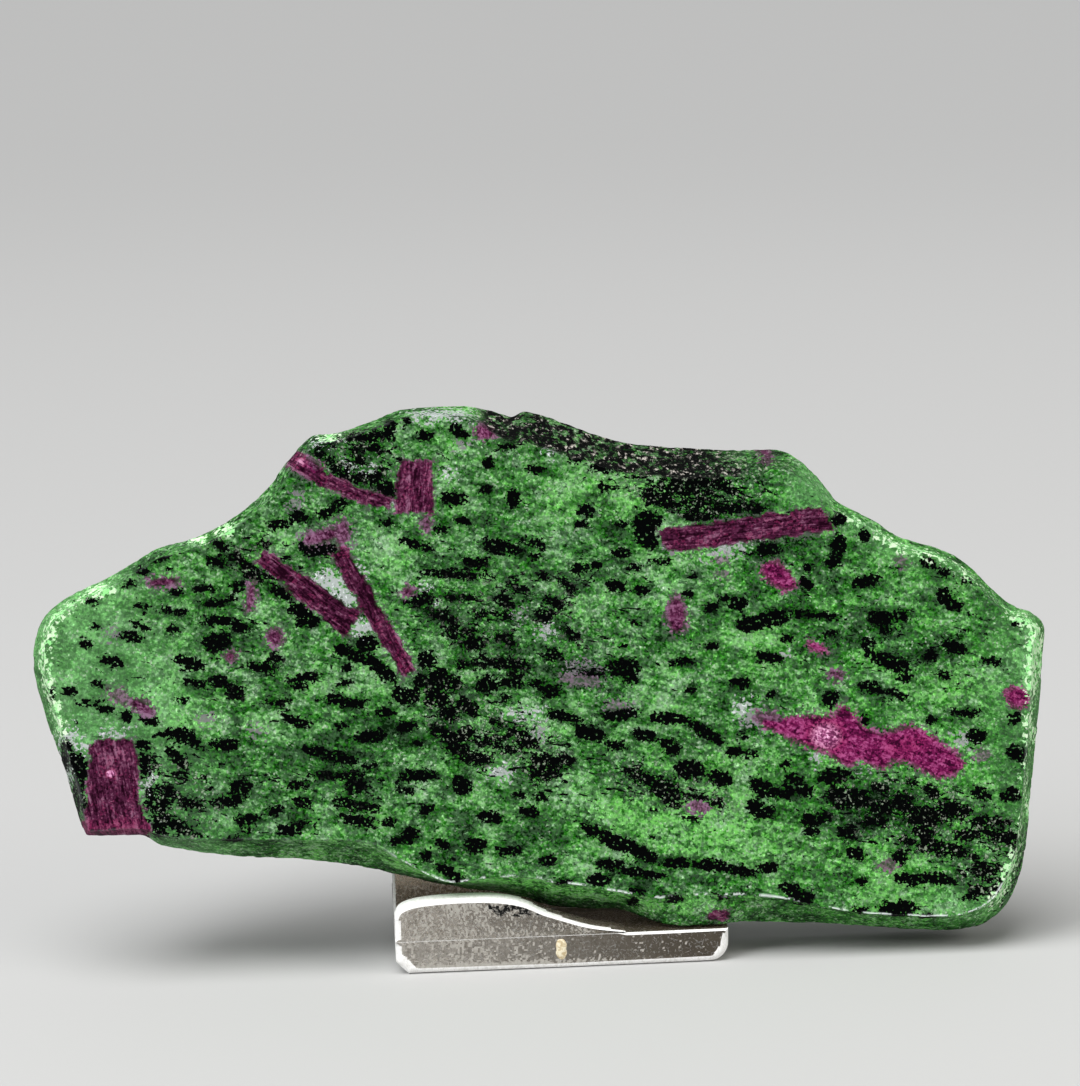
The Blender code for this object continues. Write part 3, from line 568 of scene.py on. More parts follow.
@dataclass
class ClosedShell:
    """Vertices and faces of a slab-like solid: front grid, rings round the rim, back grid.

    The front grid has across x up cells and its edge is the first ring. The last ring and
    the back grid have half as many cells when coarse_back is set, and a strip of three
    triangles to each of its stretches joins the two.
    """

    across: int
    up: int
    coarse_back: bool

    @property
    def around(self) -> int:
        """Vertices in a full ring."""
        return 2 * (self.across + self.up)

    def _edge(self, across: int, up: int) -> Array:
        """Clockwise numbers of a grid's edge vertices, from the lower left up the left side.

        Args:
            across: the grid's cells from left to right.
            up: its cells from bottom to top.

        Returns:
            2 * (across + up) numbers.
        """
        i, j = np.arange(across), np.arange(up)
        row = across + 1
        return np.concatenate(
            [j * row, up * row + i, (up - j) * row + across, across - i])

    def _grid(self, first: int, across: int, up: int, front: bool) -> Array:
        """Four-sided faces of a grid of vertices.

        Args:
            first: number of its first vertex.
            across: cells from left to right.
            up: cells from bottom to top.
            front: whether it faces the front, which sets the winding.

        Returns:
            One row of four vertex numbers to a face.
        """
        i, j = np.meshgrid(np.arange(across), np.arange(up))
        corner = (first + j * (across + 1) + i).ravel()
        loop = [corner, corner + 1, corner + across + 2, corner + across + 1]
        return np.stack(loop if front else loop[::-1], axis=1)

    def build(self, front: Array, rim: Sequence[Array], back: Array) -> list[Array]:
        """Joins the three stretches.

        Args:
            front: the front grid, (up + 1, across + 1, 3).
            rim: the rings after the first one; the last is the back grid's edge.
            back: the back grid.

        Returns:
            The vertices, the four-sided faces and the three-sided faces.
        """
        shrink = 2 if self.coarse_back else 1
        across, up = self.across // shrink, self.up // shrink
        middle = [np.asarray(ring) for ring in rim[:-1]]
        vertices = np.vstack([front.reshape(-1, 3), *middle, back.reshape(-1, 3)])
        starts = (self.across + 1) * (self.up + 1) + np.arange(len(middle) + 1) * self.around
        levels = [self._edge(self.across, self.up)]
        levels += [start + np.arange(self.around) for start in starts[:-1]]
        last = starts[-1] + self._edge(across, up)
        quads = [self._grid(0, self.across, self.up, True), self._grid(starts[-1], across, up, False)]
        for near, far in itertools.pairwise(levels if self.coarse_back else [*levels, last]):
            quads.append(np.stack([near, np.roll(near, -1), np.roll(far, -1), far], axis=1))
        if not self.coarse_back:
            return [vertices, np.vstack(quads), np.zeros((0, 3), int)]
        near = levels[-1]
        a, b, c = near[0::2], near[1::2], np.roll(near, -2)[0::2]
        far, beyond = last, np.roll(last, -1)
        fan = [np.stack(corner, axis=1) for corner in ((a, b, far), (b, beyond, far), (b, c, beyond))]
        return [vertices, np.vstack(quads), np.vstack(fan)]


def make_piece(name: str, vertices: Array, faces: Sequence[Array]) -> Piece:
    """Puts worked-out vertices and faces into a new smooth-shaded object at the origin.

    Args:
        name: the piece's name.
        vertices: places in metres.
        faces: arrays of vertex numbers, one array to each count of corners.

    Returns:
        The object.
    """
    mesh = bpy.data.meshes.new(name)
    loops = np.concatenate([group.ravel() for group in faces])
    counts = np.concatenate([np.full(len(group), group.shape[1]) for group in faces])
    mesh.vertices.add(len(vertices))
    mesh.vertices.foreach_set("co", np.ascontiguousarray(vertices, np.float32).ravel())
    mesh.loops.add(len(loops))
    mesh.loops.foreach_set("vertex_index", loops.astype(np.int32))
    mesh.polygons.add(len(counts))
    starts = np.concatenate([[0], np.cumsum(counts)[:-1]])
    mesh.polygons.foreach_set("loop_start", starts.astype(np.int32))
    mesh.update(calc_edges=True)
    mesh.validate()
    mesh.shade_smooth()
    return add_to_scene(name, mesh)


def add_to_scene(name: str, data: bpy.types.ID) -> Piece:
    """Links a new object of that name to the scene.

    Args:
        name: the object's name.
        data: its mesh, lamp or camera.

    Returns:
        The object, at the origin.
    """
    holder = bpy.data.objects.new(name, data)
    bpy.context.scene.collection.objects.link(holder)
    return holder


def turn_to(lamp: Piece, direction: Vector) -> None:
    """Turns a lamp so that it shines in a direction."""
    lamp.rotation_euler = direction.to_track_quat("-Z", "Y").to_euler()


def give_numbers(piece: Piece, name: str, values: Array) -> None:
    """Stores one number, or one vector, at each vertex for the materials to read.

    Args:
        piece: the object.
        name: the attribute's name.
        values: as many rows as the mesh has vertices.
    """
    kind, key = ("FLOAT_VECTOR", "vector") if values.ndim == 2 else ("FLOAT", "value")
    attribute = piece.data.attributes.new(name, kind, "POINT")
    attribute.data.foreach_set(key, np.ascontiguousarray(values, np.float32).ravel())


class Wiring:
    """A material's node tree, built by small steps that each return a socket."""

    def __init__(self, name: str) -> None:
        """Starts a material that holds one Principled shader.

        Args:
            name: the material's name.
        """
        self.material = bpy.data.materials.new(name)
        self.material.use_nodes = True
        self.tree = self.material.node_tree
        self.shader = self.tree.nodes["Principled BSDF"]

    def plug(self, socket: Socket, value: Value) -> None:
        """Links an input to another socket, or sets its own colour, number or vector.

        Args:
            socket: the input.
            value: what it takes.
        """
        if isinstance(value, Socket):
            self.tree.links.new(value, socket)
        else:
            socket.default_value = (*value, 1.0) if socket.type == "RGBA" else value

    def set(self, **inputs: Value) -> None:
        """Sets or links the shader's inputs; an underscore stands for a space."""
        for key, value in inputs.items():
            self.plug(self.shader.inputs[key.replace("_", " ")], value)

    def node(self, kind: str, output: str | int, inputs: dict[str | int, Value],
             **settings: object) -> Socket:
        """Adds one node.

        Args:
            kind: its type, without the word ShaderNode.
            output: name or number of the output that is wanted.
            inputs: what each input is set or linked to, by name or number.
            settings: what each of its own settings is set to.

        Returns:
            The output.
        """
        node = self.tree.nodes.new("ShaderNode" + kind)
        for key, value in settings.items():
            setattr(node, key, value)
        for key, value in inputs.items():
            self.plug(node.inputs[key], value)
        return node.outputs[output]

    def number(self, name: str) -> Socket:
        """The number stored at the vertices under that name."""
        return self.node("Attribute", "Fac", {}, attribute_name=name)

    def vector(self, name: str) -> Socket:
        """The vector stored at the vertices under that name."""
        return self.node("Attribute", "Vector", {}, attribute_name=name)

    def place(self) -> Socket:
        """Object coordinates, in metres."""
        return self.node("TexCoord", "Object", {})

    def part(self, vector: Value, axis: str) -> Socket:
        """One of a vector's three numbers: X, Y or Z."""
        return self.node("SeparateXYZ", axis, {"Vector": vector})

    def mapped(self, vector: Value, scale: Sequence[float] = (1, 1, 1),
               turn: Sequence[float] = (0, 0, 0)) -> Socket:
        """Scales a vector along the three axes, then turns it by angles in degrees."""
        angles = [math.radians(angle) for angle in turn]
        return self.node("Mapping", "Vector", {"Vector": vector, "Scale": scale, "Rotation": angles})

    def millimetres(self) -> Socket:
        """Object coordinates, in millimetres."""
        return self.mapped(self.place(), scale=(1000, 1000, 1000))

    def noise(self, vector: Value, size: float, detail: float = 2.0, rough: float = 0.5,
              warp: float = 0.0) -> Socket:
        """Clouds about 0.5 of a size in the vector's units; the rest says how fine ones add to them."""
        return self.node("TexNoise", "Fac", {"Vector": vector, "Scale": 1.0 / size, "Detail": detail,
                                             "Roughness": rough, "Distortion": warp})

    def cells(self, vector: Value, size: float) -> Socket:
        """Crystal grains of a size in the vector's units: a random value for each."""
        colour = self.node("TexVoronoi", "Color", {"Vector": vector, "Scale": 1.0 / size})
        return self.node("SeparateColor", "Red", {"Color": colour})

    def math(self, operation: str, *values: Value) -> Socket:
        """The result of a Math node on one to three values."""
        return self.node("Math", "Value", dict(enumerate(values)), operation=operation)

    def add(self, *values: Value) -> Socket:
        """The sum of two or more values."""
        return reduce(partial(self.math, "ADD"), values)

    def times(self, *values: Value) -> Socket:
        """The product of two or more values."""
        return reduce(partial(self.math, "MULTIPLY"), values)

    def greatest(self, *values: Value) -> Socket:
        """The greatest of two or more values."""
        return reduce(partial(self.math, "MAXIMUM"), values)

    def swing(self, value: Value, *shares: Value) -> Socket:
        """How far a value about 0.5 is off it, times the shares."""
        return self.times(self.add(value, -0.5), *shares)

    def span(self, value: Value, low: float, high: float, start: float = 0.0, end: float = 1.0) -> Socket:
        """Eases from start to end as a value goes from low to high, and holds both ends."""
        ends = {"Value": value, "From Min": low, "From Max": high, "To Min": start, "To Max": end}
        return self.node("MapRange", "Result", ends, interpolation_type="SMOOTHSTEP", clamp=True)

    def mix(self, share: Value, first: Value, second: Value) -> Socket:
        """Blends two colours, with a share of 0 for the first and 1 for the second."""
        return self.node("Mix", 2, {0: share, 6: first, 7: second}, data_type="RGBA", clamp_factor=True)

    def blend(self, share: Value, first: Value, second: Value) -> Socket:
        """Blends two numbers: first + share * (second - first)."""
        return self.node("Mix", 0, {0: share, 2: first, 3: second}, data_type="FLOAT", clamp_factor=True)

    def ramp(self, value: Value, stops: Sequence[float], colours: Tones) -> Socket:
        """A colour ramp.

        Args:
            value: the number that picks the colour.
            stops: the places of the colours, from 0 to 1.
            colours: one for each stop.

        Returns:
            The colour.
        """
        picked = self.node("ValToRGB", "Color", {"Fac": value})
        band = picked.node.color_ramp.elements
        while len(band) < len(stops):
            band.new(1.0)
        for element, stop, colour in zip(band, stops, colours):
            element.position, element.color = stop, (*colour, 1.0)
        return picked

    def bump(self, height: Value, depth: float, strength: Value = 1.0, under: Socket | None = None) -> Socket:
        """Relief in the shading, in metres of depth for a height of 1, over the bump under it."""
        inputs = {"Height": height, "Distance": depth, "Strength": strength}
        return self.node("Bump", "Normal", inputs if under is None else {**inputs, "Normal": under})


# Zones of the zoisite: u, v, half width, half height, tilt and share.
MINT = Zones((
    (40.5, 60.5, 5.5, 4.5, 0, 0.9), (-8.5, 19.5, 3.2, 1.8, 0, 0.9), (-4.5, 28.2, 3.6, 1.2, 0, 0.9),
), outer=1.1, inner=0.4)
MINT_FOOT = Zones(((64, -3, 12, 5, 0, 0.6),), outer=1, inner=0.3)
BRIGHT_BAND = Zones(((22, 9.5, 26, 5, -12, 1),), outer=1.15, inner=0.6)
BRIGHT = Zones((
    (52, -2.5, 12, 3.5, 0, 0.7), (35, 33, 9, 4, 0, 0.7), (8, 60, 12, 4, 0, 0.7),
    (60, 30, 9, 5, 0, 0.7), (-56, 30, 7, 3.5, 0, 0.7), (26, 19, 8, 3, 0, 0.7),
    (-71, 41, 4, 6.5, 0, 0.7), (-61, 33, 6, 4, 0, 0.7), (72, 35, 3.5, 9, 0, 0.7),
    (-68, 48, 8, 3, 0, 0.7), (-8.5, 19.5, 3.2, 1.8, 0, 0.7), (-4.5, 28.2, 3.6, 1.2, 0, 0.7),
), outer=1.2, inner=0.4)
DEEP = Zones((
    (-43, 23, 12, 7, 0, 1), (0, 10, 12, 4, 0, 1), (-25, 22, 10, 6, 0, 1),
    (30, 58, 12, 6, 0, 1), (52, 38, 12, 6, 0, 1), (0, 38, 14, 8, 0, 1),
    (50, 10, 16, 7, 0, 1), (-40, 33, 10, 5, 0, 1), (-24, 66, 10, 7, 0, 1),
), outer=1.3, inner=0.2)

# Where fine hornblende dust lies between the larger grains.
FLECK = Zones((
    (-9, 25.5, 18, 7, -30, 1), (16.5, 16.5, 16, 5, -20, 0.9), (54, 10.5, 19, 8, -15, 1),
    (-27, 67.5, 8, 4.5, -20, 1.4), (22, 62, 12, 6, -8, 1.9), (-43, 52.6, 7, 6, 0, 0.8),
    (-56, 17, 8, 9, 0, 1), (-4, 42, 27, 13, -10, 0.7), (50, 38, 21, 12, -10, 0.5),
    (-45, 35, 13, 11, 0, 0.6), (-35, 17, 19, 8, 0, 0.6), (-72, 18.5, 2.6, 8, 10, 1.6),
    (-58.8, 18, 2.4, 9, 8, 1.2), (66, 3, 8, 8, 0, 1.5),
), outer=1.25, inner=0.45, least=0.12)

# Pale worn spots of the rim, and the rosy parts of the rubies.
WORN_SPOTS = Zones((
    (73.6, 34, 2.4, 5, 0, 0.8), (72.6, 21.6, 1.6, 1.8, 0, 0.8), (71.6, 10.6, 1.4, 2.4, 0, 0.8),
    (-47.6, 57.4, 2.6, 1.4, 0, 0.8), (-67, 48.9, 3, 1.4, 0, 0.8), (-52, 56, 2, 1, 0, 0.8),
    (-32.1, 70.6, 2.4, 1.1, 0, 0.8),
), outer=1.15, inner=0.3)
ROSY = (
    Zones(((40.6, 23, 4.6, 4, 0, 1),), outer=1, inner=0),
    Zones(((-36.4, 67, 1.6, 1.2, 0, 0.7), (52.5, 21, 6, 2.6, 0, 0.3)), outer=1, inner=0.2),
    Zones(((-66.4, 21.7, 0.9, 0.8, 0, 1),), outer=1, inner=0.5),
)


@dataclass(frozen=True)
class SlabFrame:
    """Where the leaning slab stands: slab coordinates in millimetres to places in metres."""

    lean: float = math.radians(10.0)
    front: float = -18.0
    rise: float = 10.4

    def world(self, u: Array, v: Array, w: Array) -> Array:
        """World places of slab coordinates.

        Args:
            u: distance to the right.
            v: distance up the face.
            w: distance behind the face.

        Returns:
            x = u, y = front + v sin(lean) + w cos(lean), z = rise + v cos(lean) - w sin(lean).
        """
        y = self.front + v * math.sin(self.lean) + w * math.cos(self.lean)
        z = self.rise + v * math.cos(self.lean) - w * math.sin(self.lean)
        return np.stack(np.broadcast_arrays(u, y, z), axis=-1) * MM

    def height_on_face(self, z: float, w: Array) -> Array:
        """The v at which the slab reaches a height z in millimetres, at depth w."""
        return (z - self.rise + w * math.sin(self.lean)) / math.cos(self.lean)


@dataclass(frozen=True)
class Grain:
    """A crystal cut across: an ellipse on the face, in slab millimetres."""

    u: float
    v: float
    length: float
    width: float
    tilt: float

    def depth(self, u: Array, v: Array) -> Array:
        """How far inside the ellipse each point lies.

        Args:
            u: places to the right.
            v: places up the face.

        Returns:
            k1 (1 - k1) / k2, with k1 the length of (x/a, y/b) and k2 that of (x/a^2, y/b^2),
            which is close to the distance in millimetres, and negative outside.
        """
        a, b = self.length / 2, self.width / 2
        x, y = turned(u - self.u, v - self.v, self.tilt)
        reach = np.hypot(x / a, y / b) + 1e-6
        slope = np.hypot(x / a ** 2, y / b ** 2) + 1e-9
        return np.minimum(reach * (1.0 - reach) / slope, min(a, b))


@dataclass(frozen=True)
class Bar:
    """A crystal cut along its length: a tapered bar on the face, in slab millimetres."""

    start_u: float
    start_v: float
    end_u: float
    end_v: float
    start_width: float
    end_width: float
    slant: float

    def along(self, u: Array, v: Array) -> tuple[Array, Array]:
        """Places along and across the bar, from its start."""
        run = math.degrees(math.atan2(self.end_v - self.start_v, self.end_u - self.start_u))
        return turned(u - self.start_u, v - self.start_v, run)

    def depth(self, u: Array, v: Array) -> Array:
        """How far inside the bar each point lies.

        Args:
            u: places to the right.
            v: places up the face.

        Returns:
            The least distance to its four sides, negative outside them.
        """
        length = math.hypot(self.end_u - self.start_u, self.end_v - self.start_v)
        x, y = self.along(u, v)
        half = 0.5 * np.interp(x / length, [0.0, 1.0], [self.start_width, self.end_width])
        slid = x + y * self.slant
        return np.minimum(np.minimum(slid, length - slid), half - np.abs(y))


@dataclass(frozen=True)
class Patch:
    """A crystal with an outline of straight stretches, in slab millimetres."""

    corners: Rows
    flow: float

    def along(self, u: Array, v: Array) -> tuple[Array, Array]:
        """Places along and across the crystal's threads."""
        return turned(u, v, self.flow)

    def depth(self, u: Array, v: Array) -> Array:
        """How far inside the outline each point lies.

        Args:
            u: places to the right.
            v: places up the face.

        Returns:
            The distance to the nearest stretch, negative outside: a point is inside where
            a line to its right crosses the outline an odd number of times.
        """
        nearest, inside = np.full(u.shape, np.inf), np.zeros(u.shape, dtype=bool)
        ends = np.roll(np.asarray(self.corners), -1, axis=0)
        for (au, av), (bu, bv) in zip(self.corners, ends):
            run_u, run_v = bu - au, bv - av
            t = np.clip(((u - au) * run_u + (v - av) * run_v) / (run_u ** 2 + run_v ** 2), 0.0, 1.0)
            nearest = np.minimum(nearest, np.hypot(u - au - t * run_u, v - av - t * run_v))
            if av != bv:
                crossed = (av > v) != (bv > v)
                inside ^= crossed & (u < au + (v - av) * run_u / run_v)
        return np.where(inside, nearest, -nearest)


@dataclass(frozen=True)
class Growth:
    """The minerals of one side of the slab, as fields over it."""

    dark: Sequence[Grain]
    rubies: Sequence[tuple[Bar | Grain | Patch, float]]
    pale: Sequence[tuple[Grain, float]]
    merge: float = 0.3
    layering: float = -18.0

    @classmethod
    def of(cls, side: Side) -> "Growth":
        """Reads one side's rows of crystals.

        Args:
            side: the polished face or the sawn back.

        Returns:
            Its growth; only the face has crystals with an outline of their own.
        """
        on_face = side is Side.FACE
        dark, pale = (HORNBLENDE, PALE_GROUND) if on_face else (scattered_rows(), BACK_PALE)
        bars, grains = (RUBY_BARS, RUBY_GRAINS) if on_face else (BACK_BARS, BACK_GRAINS)
        rubies = [(Bar(*row[:7]), row[7]) for row in bars]
        rubies += [(Grain(*row[:5]), row[5]) for row in grains]
        rubies += [(Patch(corners, flow), tone) for tone, flow, corners in RUBY_OUTLINES if on_face]
        return cls([Grain(*row) for row in dark], rubies, [(Grain(*row[:5]), row[5]) for row in pale])

    def fields(self, u: Array, v: Array) -> dict[str, Array]:
        """Works out every field at the given places.

        Args:
            u: places to the right, in slab millimetres.
            v: places up the face.

        Returns:
            dark, ruby and pale: depth inside the nearest such mineral, negative outside it;
            tone and lilac: the nearest one's colour; streak: place along and across a ruby.
        """
        far = np.full(u.shape, -9.0)
        merged = np.full(u.shape, 1e-13)
        for grain in self.dark:
            merged += np.exp(grain.depth(u, v) / self.merge)
        dark = self.merge * np.log(merged)
        ruby, tone = far.copy(), np.zeros(u.shape)
        streak = np.stack([*turned(u, v, self.layering), np.zeros(u.shape)], axis=1)
        for number, (shape, shade) in enumerate(self.rubies):
            depth = shape.depth(u, v)
            nearer = depth > ruby
            ruby = np.where(nearer, depth, ruby)
            tone = np.where(nearer, shade, tone)
            if not isinstance(shape, Grain):
                own = np.stack([*shape.along(u, v), np.full(u.shape, 7.0 * number)], axis=1)
                streak = np.where(nearer[:, None], own, streak)
        pale, lilac = far.copy(), np.zeros(u.shape)
        for shape, share in self.pale:
            depth = shape.depth(u, v)
            lilac = np.where(depth > pale, share, lilac)
            pale = np.maximum(pale, depth)
        return {"dark": dark, "ruby": ruby, "tone": tone, "streak": streak, "pale": pale, "lilac": lilac}


def scattered_rows(count: int = 330, hubs: int = 26, seed: int = 23) -> Rows:
    """Hornblende of the sawn back: grains round scattered hubs, and loose ones between them.

    Args:
        count: how many grains.
        hubs: how many places they gather round.
        seed: for the scatter, which is the same each time.

    Returns:
        Rows of u, v, length, width and tilt.
    """
    draw = np.random.default_rng(seed)
    middles = np.stack([draw.uniform(-70, 70, hubs), draw.uniform(-2, 66, hubs)], axis=1)
    chosen = middles[draw.integers(0, hubs, count)] + draw.normal(0, 1, (count, 2)) * (9.0, 4.0)
    loose = np.stack([draw.uniform(-74, 74, count), draw.uniform(-6, 74, count)], axis=1)
    place = np.where(draw.random((count, 1)) < 0.6, chosen, loose)
    length = draw.gamma(4.0, 0.75, count) + 0.6
    width = length * draw.uniform(0.22, 0.6, count)
    tilt = draw.normal(-12.0, 9.0, count)
    return np.column_stack([place, length, width, tilt]).tolist()


class StoneWiring(Wiring):
    """The stone's node tree, with the coordinates and noises that its minerals share."""

    def __init__(self, lean: float) -> None:
        """Starts the material.

        Args:
            lean: the slab's lean in radians, which turns object places into slab ones.
        """
        super().__init__("zoisite_with_ruby_and_hornblende")
        self.slab = self.mapped(self.place(), scale=(1000, 1000, 1000), turn=(math.degrees(lean), 0, 0))
        self.layered = self.mapped(self.slab, turn=(0, -12, 0))
        self.streaky = self.mapped(self.layered, scale=(0.45, 1.0, 1.0))
        self.speck = self.cells(self.slab, 0.50)
        self.fine = self.cells(self.slab, 0.29)
        self.coarse = self.noise(self.streaky, 1.7, 3.0, 0.6, 0.4)
        self.cloud = self.noise(self.slab, 8.0, 2.0, 0.5)
        self.ragged = self.noise(self.streaky, 0.75, 2.0, 0.6, 0.3)
        self.crumb = self.noise(self.slab, 0.42, 1.0, 0.5)


@dataclass(frozen=True)
class StoneFinish:
    """Colours and roughness of the stone's minerals."""

    zoisite: Tones = tones((8, 38, 6), (38, 114, 26), (79, 155, 66), (174, 252, 158))
    bright: Tones = tones((79, 155, 66), (166, 255, 136))
    vivid: Tones = tones((8, 38, 6), (62, 155, 46), (156, 254, 132))
    lush: Tones = tones((2, 42, 0), (50, 156, 28), (144, 252, 112))
    greyed: Tones = tones((16, 38, 16), (102, 146, 102), (202, 250, 200))
    misty: Tones = tones((84, 122, 84), (98, 162, 92), (160, 244, 152))
    glint: Colour = linear(236, 252, 230)
    hornblende: Colour = linear(2, 3, 3)
    grey_green: Colour = linear(84, 122, 84)
    dusk: Colour = linear(66, 90, 68)
    crimson: Tones = tones((27, 3, 17), (78, 30, 58), (136, 94, 118))
    rose: Tones = tones((50, 6, 34), (112, 24, 76), (170, 84, 136))
    plum: Tones = tones((38, 9, 27), (84, 40, 68), (134, 94, 122))
    blush: Colour = linear(150, 34, 86)
    pink: Colour = linear(238, 180, 214)
    lilac: Colour = linear(134, 108, 132)
    white: Colour = linear(240, 249, 247)
    cream: Colour = linear(226, 246, 214)
    mint: Colour = linear(160, 244, 152)
    crust: Tones = tones((2, 3, 3), (34, 35, 31), (178, 172, 164))
    saw_dust: Colour = linear(112, 132, 108)
    face_roughness: float = 0.16
    rim_roughness: float = 0.62
    back_roughness: float = 0.80
    ior: float = 1.5
    gloss: float = 0.06

    def material(self, lean: float) -> Material:
        """Wires the stone's one material from the fields stored at its vertices.

        Args:
            lean: the slab's lean in radians.

        Returns:
            The material.
        """
        w = StoneWiring(lean)
        loose = w.add(0.65, w.times(w.number("fleck"), 0.45))
        dark = w.add(w.number("dark"), 0.30, w.swing(w.ragged, 2.2, loose), w.swing(w.crumb, 2.0, loose),
                     w.swing(w.fine, 0.34, loose))
        dark = w.greatest(dark, w.span(w.number("dark"), 0.25, 0.6))
        ground = self._pale_ground(w, self._shaded_green(w, dark))
        bits = w.times(w.span(w.noise(w.slab, 0.5, 1.0), 0.63, 0.69),
                       w.span(w.number("dark"), 1.3, 0.3, 0.2, 1.0))
        black = w.greatest(w.span(dark, -0.05, 0.05), self._dust(w))
        black = w.times(black, w.math("SUBTRACT", 1.0, w.times(bits, 0.7)))
        # Painted glints: cream specks of reflected light where the hornblende dust is thick.
        dust_glints = w.times(w.span(w.add(w.crumb, w.swing(w.fine, 0.16)), 0.61, 0.69),
                        w.span(w.noise(w.slab, 1.3, 2.0), 0.48, 0.58), w.span(w.number("fleck"), 0.55, 0.95))
        colour = w.mix(w.times(dust_glints, 0.26), w.mix(black, ground, self.hornblende), self.cream)
        inside, ruby = self._ruby(w)
        colour = self._weathered(w, w.mix(inside, colour, ruby))
        polished = w.add(self.face_roughness, w.times(w.crumb, 0.10))
        rough = w.blend(w.number("polish"), self.rim_roughness, polished)
        rough = w.blend(w.greatest(w.number("back"), w.number("rind")), rough, self.back_roughness)
        w.set(Base_Color=colour, Roughness=rough, IOR=self.ior, Specular_IOR_Level=self.gloss,
              Normal=self._relief(w))
        return w.material

    def _green(self, w: StoneWiring) -> Socket:
        """Granular zoisite: deep to light green by grain, with the stored tints over it.

        The level is 0.53 plus every noise's swing; mint calms it, and bright and deep raise
        and lower it; on the rim below the face's lower edge they hold painted light and painted shade. A
        second, looser noise makes some grains lusher and others greyer.

        Args:
            w: the wiring.

        Returns:
            The colour.
        """
        mint, bright = w.number("mint"), w.number("bright")
        calm, smooth = w.blend(mint, 1.0, 0.55), w.blend(mint, 1.0, 0.5)
        level = w.add(0.53, w.swing(w.speck, 0.50, smooth), w.swing(w.fine, 0.48, smooth),
                      w.swing(w.coarse, 1.9, calm), w.swing(w.cloud, 1.5, calm),
                      w.swing(w.ragged, 1.15, calm))
        level = w.add(level, w.swing(w.speck, bright, 0.4), w.times(bright, 0.23),
                      w.times(w.number("deep"), -0.12), w.times(mint, 0.08))
        green = w.ramp(level, (0.0, 0.27, 0.5, 1.0), self.zoisite)
        green = w.mix(w.times(bright, 0.45), green, w.ramp(level, (0.1, 0.95), self.bright))
        rich = w.greatest(w.span(w.part(w.place(), "X"), 0.008, 0.045), bright)
        hue = w.add(w.times(w.cells(w.place(), 0.00041), 0.7), w.noise(w.place(), 0.001, 2.0),
                    w.times(w.noise(w.place(), 0.0034, 2.0), 1.5), w.times(rich, 0.08), -1.1)
        for share, middle, colours in (
            (w.times(rich, 0.6), 0.5, self.vivid), (w.span(hue, 0.5, 1.0, 0.0, 0.8), 0.5, self.lush),
            (w.span(hue, 0.5, 0.0, 0.0, 0.8), 0.5, self.greyed), (w.times(mint, 0.75), 0.4, self.misty),
        ):
            green = w.mix(share, green, w.ramp(level, (0.0, middle, 1.0), colours))
        sparkle = w.times(w.span(w.fine, 0.88, 0.97), w.span(w.coarse, 0.42, 0.60))
        return w.mix(w.times(sparkle, 0.55), green, self.glint)

    def _shaded_green(self, w: StoneWiring, dark: Socket) -> Socket:
        """Greyer and deeper green round the hornblende, and dusk where its dust is thick.

        Args:
            w: the wiring.
            dark: depth inside the hornblende, made ragged.

        Returns:
            The colour.
        """
        fringe = w.times(w.span(dark, -0.9, -0.1, 0.0, 0.55), w.span(w.crumb, 0.40, 0.62))
        green = w.mix(fringe, self._green(w), self.grey_green)
        green = w.mix(w.span(w.number("dark"), -1.4, 0.1, 0.0, 0.4), green, self.zoisite[0])
        thick = w.times(w.span(w.number("fleck"), 0.4, 1.0), w.span(w.crumb, 0.42, 0.56), 0.5)
        return w.mix(thick, green, self.dusk)

    def _dust(self, w: StoneWiring) -> Socket:
        """Fine hornblende between the large grains: short dashes and ragged crumbs.

        Args:
            w: the wiring.

        Returns:
            Its share of each place.
        """
        dashes = w.noise(w.mapped(w.layered, scale=(0.28, 1.0, 1.0)), 1.0, 3.0, 0.65, 0.5)
        crumbs = w.add(w.noise(w.streaky, 1.3, 3.0, 0.7, 0.6), w.swing(w.crumb, 0.25))
        thick = w.number("fleck")
        return w.greatest(w.span(w.add(dashes, w.times(thick, 0.09)), 0.68, 0.715),
                          w.span(w.add(crumbs, w.times(thick, 0.085)), 0.665, 0.695))

    def _pale_ground(self, w: StoneWiring, green: Socket) -> Socket:
        """White and lilac ground where the stored pale field is above nothing.

        Args:
            w: the wiring.
            green: the colour round it.

        Returns:
            The colour.
        """
        pale = w.add(w.number("pale"), w.swing(w.ragged, 4.6), w.swing(w.crumb, 5.6), w.swing(w.speck, 0.8))
        lilac = w.number("lilac")
        shade = w.times(w.span(w.crumb, 0.32, 0.60, 0.85, 0.0), w.span(lilac, 0.0, 0.5, 0.28, 1.0))
        shaded = w.mix(shade, w.mix(lilac, self.white, self.lilac), self.grey_green)
        halo = w.times(w.span(w.add(w.number("ruby"), w.swing(w.crumb, 2.4)), -0.85, -0.10),
                       w.span(w.crumb, 0.40, 0.60), 0.6)
        ground = w.mix(halo, green, w.mix(0.5, self.lilac, self.grey_green))
        return w.mix(w.times(w.span(pale, -0.2, 0.4), w.blend(lilac, 0.97, 0.70)), ground, shaded)

